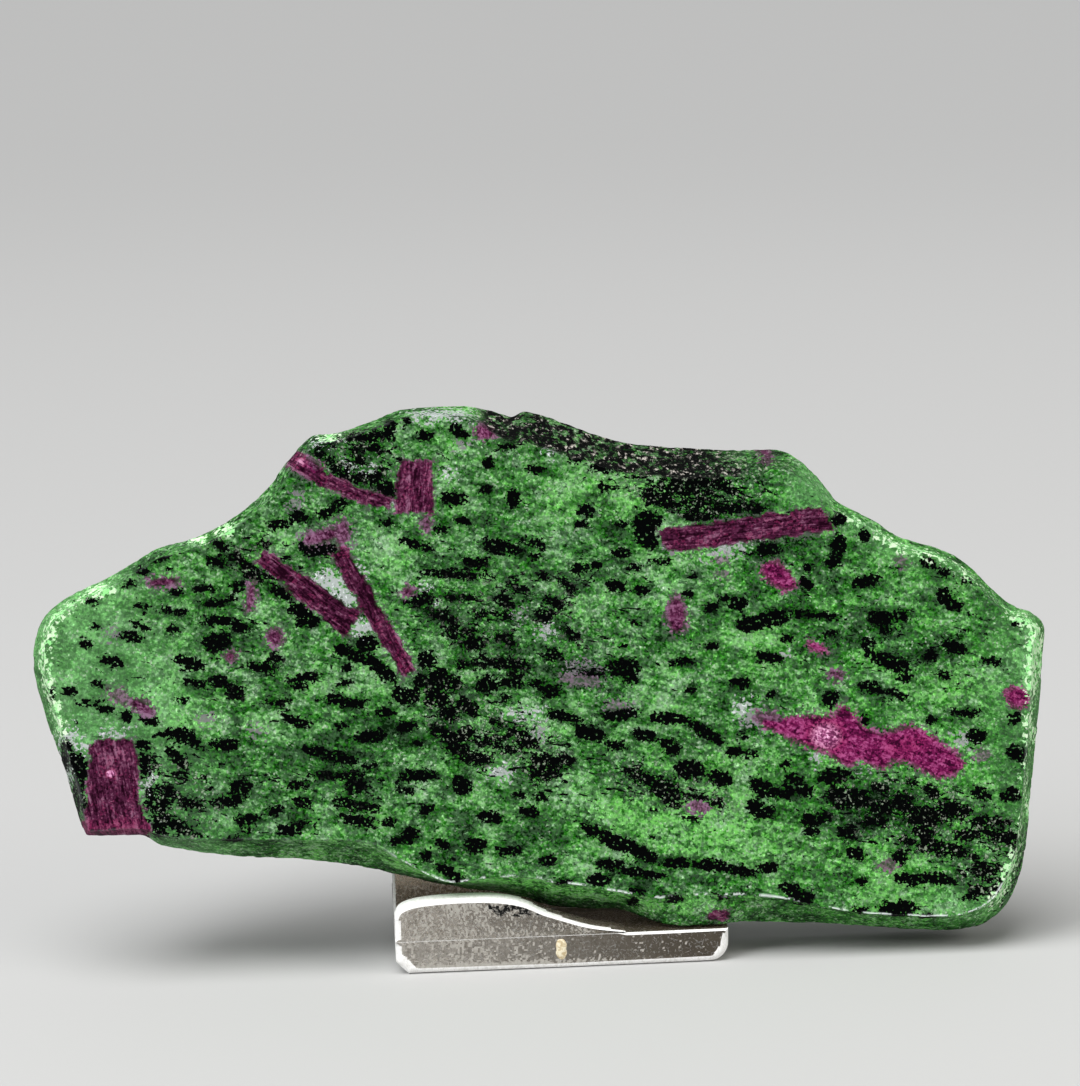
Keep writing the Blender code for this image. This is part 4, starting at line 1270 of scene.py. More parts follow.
    def _ruby(self, w: StoneWiring) -> tuple[Socket, Socket]:
        """Ruby: crimson with threads along the crystal, rosier and then greyer by tone.

        Args:
            w: the wiring.

        Returns:
            How much of each place is ruby, and its colour.
        """
        tone, streak, rosy = w.number("tone"), w.vector("streak"), w.number("rosy")
        wobble = w.blend(w.span(tone, 0.12, 0.4), 0.7, 2.2)
        sway = w.swing(w.noise(w.place(), 0.0021, 2.0, 0.5), 2.0)
        edge = w.add(w.number("ruby"), 0.10, w.swing(w.crumb, wobble), w.swing(w.fine, 0.24), sway)
        inside = w.times(w.span(edge, -0.12, 0.16), w.span(tone, 0.6, 1.0, 1.0, 0.6))
        thread = w.noise(w.mapped(streak, scale=(0.18, 1.0, 1.0)), 0.46, 3.0, 0.66, 0.6)
        broad = w.noise(w.mapped(streak, scale=(0.3, 1.0, 1.0)), 1.5, 2.0, 0.5)
        patchy = w.span(tone, 0.14, 0.34)
        level = w.add(0.38, w.swing(thread, w.blend(patchy, 2.3, 1.4)), w.swing(broad, 1.2),
                      w.swing(w.fine, w.blend(patchy, 0.44, 0.6)),
                      w.swing(w.speck, w.blend(patchy, 0.28, 0.5)), w.times(tone, 0.10),
                      w.span(tone, 0.02, 0.08, -0.07, 0.0))
        core = w.ramp(level, (0.0, 0.5, 1.0), self.crimson)
        core = w.mix(patchy, core, w.ramp(level, (0.0, 0.45, 1.0), self.rose))
        flush = w.times(w.span(w.add(w.fine, w.swing(broad, 1.6)), 0.72, 1.0), w.span(edge, 0.1, 0.5))
        core = w.mix(w.times(flush, 0.22), core, self.blush)
        core = w.mix(w.span(tone, 0.36, 0.48), core, w.ramp(level, (0.0, 0.5, 1.0), self.plum))
        core = w.mix(w.times(w.span(rosy, 0.0, 0.5), w.span(level, 0.1, 0.8), 0.6), core, self.blush)
        core = w.mix(w.times(w.span(rosy, 0.3, 1.0), w.span(level, 0.0, 0.5, 0.3, 1.0)), core,
                     w.mix(w.span(level, 0.15, 0.8), self.rose[-1], self.pink))
        veil = w.mix(w.span(level, 0.1, 0.9), w.mix(0.5, self.crimson[0], self.grey_green), self.lilac)
        faded = w.times(w.span(tone, 0.5, 1.0), 0.9)
        rim_fade = w.times(w.span(w.number("ruby"), 0.8, 0.0), w.span(tone, 0.15, 0.45), 0.5)
        fringe = w.times(w.span(edge, 0.42, 0.0), w.span(w.crumb, 0.42, 0.58), 0.45)
        return inside, w.mix(w.greatest(faded, rim_fade, fringe), core, veil)

    def _weathered(self, w: StoneWiring, colour: Socket) -> Socket:
        """Rind, worn patches, a painted highlight along the polished face's edge, and saw dust over the
        minerals of the rim and the back.

        Args:
            w: the wiring.
            colour: the minerals' colour.

        Returns:
            The colour with them over it.
        """
        rind = w.times(w.number("rind"), w.span(w.noise(w.slab, 1.6, 3.0, 0.7), 0.41, 0.51, 0.45, 1.0))
        mottle = w.add(w.noise(w.slab, 0.9, 3.0, 0.7), w.swing(w.speck, 0.24))
        colour = w.mix(rind, colour, w.ramp(mottle, (0.51, 0.61, 0.72), self.crust))
        worn = w.number("skin")
        patches = w.add(worn, w.swing(w.noise(w.slab, 1.2, 3.0, 0.65), 2.4), w.swing(w.crumb, 2.0),
                        w.swing(w.speck, 0.5))
        skin = w.times(w.span(patches, 0.45, 0.75), w.span(worn, 0.0, 0.3))
        colour = w.mix(w.times(skin, 0.8), colour, w.mix(w.span(w.speck, 0.2, 1.0), self.mint, self.cream))
        # Painted highlight: a thin broken white line along the polished face's edge.
        edge = w.times(w.number("edge"),
                       w.span(w.add(w.noise(w.slab, 2.6, 2.0), w.swing(w.crumb, 0.5)), 0.44, 0.58))
        colour = w.mix(w.times(edge, 0.85), colour, self.white)
        return w.mix(w.times(w.number("back"), 0.12), colour, self.saw_dust)

    def _relief(self, w: StoneWiring) -> Socket:
        """Bumps: faint orange peel on the polish, grit on the rim, saw marks up the back.

        Args:
            w: the wiring.

        Returns:
            The normal.
        """
        grit = w.bump(w.add(w.times(w.crumb, 0.6), w.times(w.speck, 0.4)), 0.00035,
                      w.blend(w.number("polish"), 0.85, 0.04))
        marks = w.noise(w.mapped(w.slab, scale=(1.0, 1.0, 0.02), turn=(0, 7, 0)), 0.7, 2.0, 0.6)
        return w.bump(marks, 0.00008, w.times(w.number("back"), 0.8), grit)


@dataclass
class Stone:
    """The stone: one closed piece with a polished face, a natural rim and a sawn back."""

    frame: SlabFrame
    thickness: float = 15.0
    across: int = 340
    up: int = 150
    front_rings: int = 10
    back_rings: int = 9
    bevel_power: float = 1.35
    back_edge: float = 1.8
    worn: float = 0.9
    broken: float = 2.2
    front_spacing: float = 1.25
    averaged_over: float = 5.0
    sheet: float = 5.0
    gap: float = 0.12
    stand_half: float = 27.0
    rind_from: float = -9.0
    rind_to: float = 38.0
    rind_above: float = 60.0
    rind_blend: float = 6.0
    outline_steps: int = 1600
    sharp_angle: float = 42.0
    node: str = "ruby_zoisite_slab"

    def build(self, finish: StoneFinish) -> Piece:
        """Makes the stone and dresses it.

        Args:
            finish: its colours and roughness.

        Returns:
            The piece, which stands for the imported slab.
        """
        shell = ClosedShell(self.across, self.up, True)
        rings, shares = self._rings(self._rim())
        front = coons_grid(rings[0], self.across, self.up)
        back = coons_grid(rings[-1], self.across // 2, self.up // 2)
        parts = [front.reshape(-1, 3), *rings[1:-1], back.reshape(-1, 3)]
        slab, quads, fans = shell.build(front, rings[1:], back)
        share = np.concatenate([np.full(len(part), value) for part, value in zip(parts, shares)])
        low, high = (np.array(corner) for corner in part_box(self.node))
        places = np.clip(self.frame.world(*slab.T), low, high)
        stone = make_piece("ruby_in_zoisite", places, [quads, fans])
        stone.data.set_sharp_from_angle(angle=math.radians(self.sharp_angle))
        for name, values in {**self._fields(slab, share), **self._masks(slab, share, rings[0])}.items():
            give_numbers(stone, name, values)
        stone.data.materials.append(finish.material(self.frame.lean))
        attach(stone, "root")
        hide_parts(self.node)
        return stone

    def _rim(self) -> Array:
        """Rows round the outline, evenly spaced between each two corners.

        Returns:
            u, v, bevel, girth and the direction out, side by side, clockwise from the lower
            left corner.
        """
        fine = smooth_curve(OUTLINE, closed=True)
        fine = even_points(np.vstack([fine, fine[:1]]), self.outline_steps + 1)[:-1]
        spacing = run_lengths(fine)[1]
        rows = np.hstack([fine, outward(fine[:, :2], self.averaged_over / spacing / 2)])
        starts = [int(np.argmin(np.hypot(*(rows[:, :2] - corner).T))) for corner in CORNERS]
        rows = np.roll(rows, -starts[0], axis=0)
        marks = [(start - starts[0]) % len(rows) for start in starts] + [len(rows)]
        rows = np.vstack([rows, rows[:1]])
        counts = [self.up, self.across, self.up, self.across]
        return np.vstack([
            even_points(rows[a:b + 1], count + 1)[:-1]
            for (a, b), count in zip(itertools.pairwise(marks), counts)
        ])

    def _rings(self, rim: Array) -> tuple[list[Array], list[float]]:
        """Rings of slab coordinates, from the polished face's edge to the sawn back's.

        In front of the widest ring the inset is bevel * (1 - share) ** power, and behind it
        back_edge * share ** 2. Hollows, soft where the rim is worn and chipped where it is
        broken, deepen it. Over the stand nothing hangs below the base plate's top.

        Args:
            rim: the rows round the outline.

        Returns:
            The rings, and for each stretch of vertices how far round the rim it is, from
            0 on the face to 1 on the back.
        """
        u, v, bevel, girth = rim[:, :4].T
        out = rim[:, 4:6]
        on_rind = (u > self.rind_from) & (u < self.rind_to) & (v > self.rind_above)
        broken = ring_average(on_rind.astype(float), self.rind_blend)
        lowest = self.sheet + self.gap
        front_shares = np.linspace(0.0, 1.0, self.front_rings + 1) ** self.front_spacing
        back_shares = np.linspace(0.0, 1.0, self.back_rings + 1)[1:]
        levels = [(share, True) for share in front_shares] + [(share, False) for share in back_shares]
        rings = []
        for share, ahead in levels:
            if ahead:
                inset, w = bevel * (1 - share) ** self.bevel_power, girth * share
                worn_share = 0.75 * math.sin(math.pi * share)
                chip_share = 0.5 * (1 + math.sin(math.pi * share)) * (1 - 0.8 * share)
            else:
                inset, w = self.back_edge * share ** 2, girth + (self.thickness - girth) * share
                worn_share = chip_share = math.sin(math.pi * (0.12 + 0.74 * share))
            places = np.stack([u, v, w], axis=1)
            on_face = ahead and share == 0.0
            hollow = self._hollows(places, broken, worn_share, chip_share, on_face)
            edge = places[:, :2] - out * (inset + hollow)[:, None]
            floor = np.where(np.abs(u) < self.stand_half, self.frame.height_on_face(lowest, w), -np.inf)
            rings.append(np.column_stack([edge[:, 0], np.maximum(edge[:, 1], floor), w]))
        rings[-1] = rings[-1][::2]
        round_share = [0.0, *np.linspace(0.0, 1.0, len(levels))[1:-1], 1.0]
        return rings, round_share

    def _hollows(self, places: Array, broken: Array, worn_share: float, chip_share: float,
                 on_face: bool) -> Array:
        """Depth of the rim's hollows at one ring.

        Args:
            places: the ring before them.
            broken: 1 where the rind is broken, 0 where it is worn.
            worn_share: how much of the worn hollows count here.
            chip_share: the same of the broken ones.
            on_face: whether it is the polished face's edge, which is smoother.

        Returns:
            Depths in millimetres: lumps and grit, and on broken stretches chips of three sizes.
        """
        lumps = Grit(5).soft(places, 6.0) * 0.6 + Grit(6).soft(places, 2.4) * 0.4
        grit = Grit(7).soft(places, 0.9)
        chips = Grit(8).chips(places, 4.2) * 0.55 + Grit(9).chips(places, 1.7) * 0.3
        chips = chips + Grit(10).soft(places, 0.7) * 0.15
        worn, deep = self.worn * worn_share * lumps, self.broken * chip_share * np.clip(chips, 0, 1)
        if on_face:
            worn = worn + 0.22 * Grit(12).soft(places, 1.6)
        else:
            worn = worn + (0.10 * grit + 0.14 * np.clip(Grit(11).chips(places, 1.5), 0, 1))
            deep = deep + 0.25 * grit
        return worn * (1 - broken) + deep * broken

    def _fields(self, slab: Array, share: Array) -> dict[str, Array]:
        """The mineral fields: the face's and the back's, blended about half way through.

        Args:
            slab: the vertices in slab millimetres.
            share: how far round the rim each one is.

        Returns:
            The fields by name. On the rim gaps keep the grains from running straight through.
        """
        u, v, w = slab.T
        back = ease(w + 2.5 * (Grit(20).soft(slab, 5.0) - 0.5), 6.5, 9.5)
        here, there = (Growth.of(side).fields(u, v) for side in Side)
        on_rim = ease(share, 0.12, 0.3) * ease(share, 0.97, 0.9)
        gaps = 3.4 * on_rim * ease(Grit(21).soft(slab, 2.6), 0.40, 0.56)
        here["dark"], there["dark"] = here["dark"] - gaps, there["dark"] - gaps
        fields = {}
        for name, values in here.items():
            part = back[:, None] if values.ndim == 2 else back
            fields[name] = values * (1 - part) + there[name] * part
        return fields

    def _masks(self, slab: Array, share: Array, face_edge: Array) -> dict[str, Array]:
        """Shares of each finish, each 0 where it isn't and about 1 where it is full.

        Args:
            slab: the vertices in slab millimetres.
            share: how far round the rim each one is.
            face_edge: the polished face's edge.

        Returns:
            The masks by name.
        """
        u, v, w = slab.T
        from_edge = self._distance(slab, face_edge)
        front_half = 1 - ease(share, 0.35, 0.6)
        whole = 1 - ease(v, 60.0, 62.0) * ease(u, -11.0, -8.0) * ease(u, 39.0, 36.5)
        not_block = 1 - ease(v, 27.0, 25.0) * ease(u, -58.5, -60.0)
        sill = ease(v + 0.17 * abs(u), 14.0, 9.0)
        # ends: the rim's paler ends, partly wear and partly painted light; they pale the rim (skin) and the
        # face beside it (mint).
        ends = self._worn_and_lit_ends(u, v)
        near = np.maximum(0.85 * ease(from_edge, 1.7, 0.4), ease(share, 0.0, 0.04) * ease(share, 0.5, 0.2))
        worn = 0.62 * ends * near * front_half + 0.10 * ease(share, 0.0, 0.35) * (1 - ends)
        rind = (1 - whole) * ease(share, 0.0, 0.08) * (1 - ease(share, 0.9, 0.98))
        # Painted highlight along the polished face's edge, strongest on its lower stretch.
        edge = ease(from_edge, 0.30, 0.05) * whole * (1 - ease(share, 0.1, 0.3))
        left = ease(u + 0.25 * (v - 30.0), -47.0, -65.0)
        right = 0.8 * ease(u - 0.08 * v, 58.0, 71.0) * (0.6 + 0.4 * ease(v, 16.0, 26.0))
        mint = np.clip(np.maximum.reduce([left, right, MINT.field(u, v), MINT_FOOT.field(u, v)]), 0, 1)
        # Painted light and shade on the rim below the face's lower edge: lighter just under the edge, darker
        # further under, where the rim faces down.
        lit_sill = 1.7 * sill * ease(share, 0.0, 0.05) * ease(share, 0.42, 0.2) * ease(u, 34.0, 20.0)
        shaded_sill = sill * ease(share, 0.26, 0.50) * (
            0.5 + 0.8 * ease(u, 0.0, -25.0) + 2.3 * ease(abs(u - 8.0), 17.0, 7.0))
        # The ruby's lower end below the block: its crimson is its own, and the brighter blush on it is
        # painted light.
        block_foot = 0.24 * ease(v + 0.03 * (u + 66.0), 15.2, 14.7) * ease(u, -59.5, -60.5) * front_half
        return {
            "polish": (1 - ease(share, 0.0, 0.12)) * (1 - ease(share, 0.9, 1.0)),
            "back": ease(share, 0.97, 1.0) * (w > self.thickness - 0.01),
            "rind": rind * (0.45 + 0.55 * ease(u, 32.0, 24.0)),
            "skin": np.maximum(worn * whole * not_block, WORN_SPOTS.field(u, v)),
            "edge": edge * (0.06 + 0.94 * sill),
            "mint": np.maximum(mint, 0.9 * ends * ease(from_edge, 3.6, 1.2) * not_block),
            "bright": np.maximum.reduce([BRIGHT_BAND.field(u, v), BRIGHT.field(u, v), lit_sill]),
            "deep": np.maximum(DEEP.field(u, v), shaded_sill),
            "rosy": np.maximum.reduce([*(zones.field(u, v) for zones in ROSY), block_foot]),
            "fleck": FLECK.field(u, v),
        }

    def _worn_and_lit_ends(self, u: Array, v: Array) -> Array:
        """How pale the rim is at the right end, at the left end and on the slope between them: wear, and
        painted light on the ends.

        Args:
            u: places to the right, in slab millimetres.
            v: places up the face.

        Returns:
            The shares; at the right they are higher at four heights than elsewhere.
        """
        heights = np.maximum.reduce([
            ease(v, 26.0, 30.0) * ease(v, 43.0, 39.0), 0.8 * ease(abs(v - 24.0), 2.0, 0.5),
            ease(v, 6.0, 2.0), np.full(v.shape, 0.35)])
        right = ease(u - 0.08 * v, 60.0, 71.0) * heights * 1.6
        left = ease(u, -64.0, -74.0) * ease(v, 24.0, 29.0)
        return np.maximum.reduce([right, left, 0.8 * ease(u, 42.0, 47.0) * ease(v, 42.0, 48.0)])

    def _distance(self, slab: Array, line: Array) -> Array:
        """Distance from each vertex to the nearest of a line's points, near the face.

        Args:
            slab: vertices in slab millimetres.
            line: the line's points.

        Returns:
            Distances, 9 for those far behind the face.
        """
        result = np.full(len(slab), 9.0)
        near = np.flatnonzero(slab[:, 2] < 4.0)
        for block in np.array_split(near, 40):
            gap = slab[block, None, :] - line[None, :, :]
            result[block] = np.sqrt(np.min(np.sum(gap * gap, axis=2), axis=1))
        return np.minimum(result, 9.0)


@dataclass(frozen=True)
class ClearAcrylic:
    """Polished faces of the acrylic sheet: clear, faintly warm, scratched and dusty, with painted shade
    darker to the right, upwards and towards the back.
    """

    name: str = "clear_acrylic_sheet"
    tint: Colour = (1.0, 0.93, 0.84)
    # Painted shade: the dark colour the sheet turns to towards the right, the top and the back; its darker
    # mottles use it too.
    shaded: Colour = (0.165, 0.128, 0.082)
    scratch: Colour = (0.97, 0.96, 0.94)
    clear_share: float = 0.74
    ior: float = 1.49
    absorption: Colour = (0.80, 0.74, 0.66)
    density: float = 20.0
    roughness: float = 0.12
    hairs: tuple[tuple[float, float], ...] = ((12, 0.32), (-38, 0.4), (71, 0.36))

    def material(self) -> Material:
        """Wires the clear sheet; hairs holds the direction and the width of its scratches.

        Returns:
            The material, with plain transmission and absorption values.
        """
        w = Wiring(self.name)
        place = w.millimetres()
        marks = []
        for turn, size in self.hairs:
            facing = w.mapped(place, turn=(0, turn, 0))
            drawn = w.noise(w.mapped(facing, scale=(0.13, 1.0, 1.0)), size, 1.0)
            marks.append(w.times(w.span(drawn, 0.68, 0.72), w.span(w.noise(facing, size, 1.0), 0.42, 0.62)))
        hairs = w.greatest(*marks)
        grain, smear = w.noise(place, 0.42, 3.0, 0.7, 0.4), w.noise(place, 3.0, 3.0, 0.6, 0.4)
        dust = w.span(grain, 0.57, 0.64)
        # Painted shade: darker to the right, upwards and towards the back.
        away = w.add(w.part(place, "X"), w.part(place, "Z"), w.part(place, "Y"), 18.0)
        sheet = w.mix(w.span(away, -20.0, 24.0), self.tint, self.shaded)
        sheet = w.mix(w.span(smear, 0.40, 0.62, 0.0, 0.25), sheet, self.shaded)
        sheet = w.mix(w.span(grain, 0.48, 0.36, 0.0, 0.6), sheet, self.shaded)
        colour = w.mix(w.greatest(w.times(hairs, 0.6), w.times(dust, 0.6)), sheet, self.scratch)
        rough = w.add(self.roughness, w.times(hairs, 0.5), w.times(dust, 0.3), w.times(smear, 0.16))
        ripple = w.bump(w.add(w.times(hairs, -0.7), w.times(dust, 0.3), smear), 0.00006, 0.7)
        w.set(Base_Color=colour, Roughness=rough, IOR=self.ior, Transmission_Weight=self.clear_share,
              Normal=ripple)
        haze = w.node("VolumeAbsorption", "Volume", {"Color": self.absorption, "Density": self.density})
        w.plug(w.tree.nodes["Material Output"].inputs["Volume"], haze)
        return w.material


# The back rest's sheet is darker and browner all over: painted shade, for the rest that stands behind the
# stone.
SHADED_REST_SHEET = ClearAcrylic("shaded_acrylic_rest_sheet", tint=(0.58, 0.49, 0.38), shaded=(0.42, 0.34, 0.25),
                          clear_share=0.84)


@dataclass(frozen=True)
class GroundEdge:
    """Sawn and ground edges of the sheet: frosted white, with chatter across them."""

    name: str = "ground_acrylic_edge"
    white: Colour = (0.96, 0.955, 0.94)
    shade: Colour = (0.78, 0.77, 0.74)
    roughness: float = 0.62
    gloss: float = 0.5
    ior: float = 1.49
    wear: tuple[float, float] = (0.36, 0.56)

    def material(self) -> Material:
        """Wires the frosted edge.

        Returns:
            The material.
        """
        w = Wiring(self.name)
        place = w.millimetres()
        chatter = w.noise(w.mapped(place, scale=(1.0, 0.25, 0.6)), 0.5, 3.0, 0.6)
        grit = w.noise(place, 0.22, 2.0, 0.6)
        worn = w.add(w.times(chatter, 0.6), w.times(grit, 0.4))
        rough = w.span(grit, 0.3, 0.7, self.roughness - 0.1, self.roughness + 0.15)
        w.set(Base_Color=w.mix(w.span(worn, *self.wear), self.shade, self.white), Roughness=rough,
              IOR=self.ior, Specular_IOR_Level=self.gloss, Normal=w.bump(worn, 0.00015, 0.7))
        return w.material


# Scuffs on the sheet's front; along the base's foot the same lighter faces are painted glow.
SCUFFS_AND_GLOW = GroundEdge("scuffed_and_glowing_acrylic", white=(0.42, 0.40, 0.36), shade=(0.28, 0.26, 0.225))
# Near-black faces with pale flecks, in a patch just below the lip's top edge.
DARK_PATCH = GroundEdge("dark_patch_behind_the_lip", white=(0.30, 0.285, 0.26), shade=(0.006, 0.006, 0.006),
                   gloss=0.08, wear=(0.50, 0.60))


@dataclass(frozen=True)
class DriedGlue:
    """A dried drop of yellowish glue."""

    pale: Colour = linear(240, 230, 202)
    dark: Colour = linear(200, 180, 140)
    ior: float = 1.48

    def material(self) -> Material:
        """Wires the glue.

        Returns:
            The material.
        """
        w = Wiring("dried_glue")
        curd = w.noise(w.millimetres(), 0.5, 3.0, 0.6, 0.5)
        w.set(Base_Color=w.mix(w.span(curd, 0.38, 0.60), self.dark, self.pale),
              Roughness=w.span(curd, 0.3, 0.7, 0.35, 0.6), IOR=self.ior, Normal=w.bump(curd, 0.0001, 0.6))
        return w.material


class Slot(IntEnum):
    """The material that a plate's face takes."""

    CLEAR = 0
    GROUND = 1
    SCUFFS_AND_GLOW = 2
    DARK_PATCH = 3


@dataclass
class Plate:
    """A piece cut from the acrylic sheet, in millimetres of its own plane.

    Its sides are lines of rows (a, b, bevel): left upwards, top rightwards, right
    downwards and bottom leftwards, as the front shows them.
    """

    name: str
    nodes: tuple[str, ...]
    sides: Sequence[Rows]
    thickness: float
    place: Shape
    across: int = 120
    up: int = 30
    back_bevel: float = 0.3
    back_follows: bool = False
    corner_patches: Sequence[tuple[float, float, float, float]] = ()
    clear_above: float = math.inf
    frosting: tuple[tuple[float, ...], tuple[float, ...]] = ((0.0,), (0.0,))
    through: tuple[float, ...] = (0.2, 0.4, 0.6, 0.8)
    averaged_over: float = 1.2
    sharp_angle: float = 35.0
    scuffs: Field | None = None
    dark_patch: tuple[float, float, float, float] | None = None

    def build(self, clear: Material, ground: Material) -> Piece:
        """Makes the plate: clear faces, and ground edges all round.

        The edge's section goes in by the bevel at each face, along a quarter of an
        ellipse, and straight through between them.

        Args:
            clear: for the two faces.
            ground: for the edges.

        Returns:
            The piece.
        """
        counts = (self.up, self.across, self.up, self.across)
        rows = np.vstack([
            even_points(np.asarray(side, float), count + 1)[:-1]
            for side, count in zip(self.sides, counts)
        ])
        out = outward(rows[:, :2], self.averaged_over)
        behind = np.full(len(rows), self.back_bevel)
        if self.back_follows:
            behind = np.clip(2.8 * rows[:, 2] - 0.5, 0.04, self.back_bevel)
        turns = np.linspace(0.0, math.pi / 2, 5)
        section = [(1 - math.sin(t), 1 - math.cos(t), 0.0) for t in turns]
        section += [(0.0, 1.0, share) for share in self.through]
        section += [(1 - math.cos(t), 1 - math.sin(t), 1.0) for t in turns]
        rings = []
        for inset, depth, share in section:
            bevel = rows[:, 2] if share == 0.0 else behind
            edge = rows[:, :2] - out * (inset * bevel * (share in (0.0, 1.0)))[:, None]
            front, back = depth * rows[:, 2], self.thickness - depth * behind
            rings.append(np.column_stack([edge, front * (1 - share) + back * share]))
        front, back = (coons_grid(ring, self.across, self.up) for ring in (rings[0], rings[-1]))
        flat, quads, _ = ClosedShell(self.across, self.up, False).build(front, rings[1:], back)
        piece = make_piece(self.name, self.place(*flat.T), [quads])
        piece.data.set_sharp_from_angle(angle=math.radians(self.sharp_angle))
        for finish in (clear, ground):
            piece.data.materials.append(finish)
        if self.scuffs is not None:
            piece.data.materials.append(SCUFFS_AND_GLOW.material())
        if self.dark_patch is not None:
            piece.data.materials.append(DARK_PATCH.material())
        piece.data.polygons.foreach_set("material_index", self._slots(flat, quads))
        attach(piece, "root")
        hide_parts(*self.nodes)
        return piece

    def _slots(self, flat: Array, quads: Array) -> Array:
        """Picks each face's material: the edges and the ground corners are frosted.

        Args:
            flat: the vertices in the plate's own plane.
            quads: its faces, those of the front first.

        Returns:
            A slot number for each face.
        """
        cells = self.across * self.up
        slots = np.full(len(quads), Slot.GROUND, dtype=np.int32)
        slots[:2 * cells] = Slot.CLEAR
        places = flat[quads]
        on_top = places[:, :, 1].min(axis=1) > self.clear_above
        deep = places[:, :, 2].mean(axis=1) > np.interp(places[:, :, 0].mean(axis=1), *self.frosting)
        slots[on_top & deep] = Slot.CLEAR
        middle = flat[quads[:cells], :2].mean(axis=1)
        facing, (a, b) = slots[:cells], middle.T
        for corner_a, corner_b, slope_a, slope_b in self.corner_patches:
            facing[(a - corner_a) / slope_a + (b - corner_b) / slope_b < 1.0] = Slot.GROUND
        if self.scuffs is not None:
            upright = np.column_stack([a, 0.5 * b, 0 * a])
            relief = 0.28 * Grit(41).soft(upright, 0.8) + 0.72 * Grit(42).soft(upright, 0.17)
            limit = np.quantile(relief, np.clip(1.0 - self.scuffs(a, b), 0.0, 1.0))
            facing[(relief > limit) & (facing == Slot.CLEAR)] = Slot.SCUFFS_AND_GLOW
        if self.dark_patch is not None:
            patch_a, patch_b, half_a, half_b = self.dark_patch
            spread = np.hypot((a - patch_a) / half_a, (b - patch_b) / half_b)
            blotch = Grit(43).soft(np.column_stack([middle, 0 * spread]), 0.6)
            facing[spread + 1.2 * (blotch - 0.5) < 0.95] = Slot.DARK_PATCH
        return slots


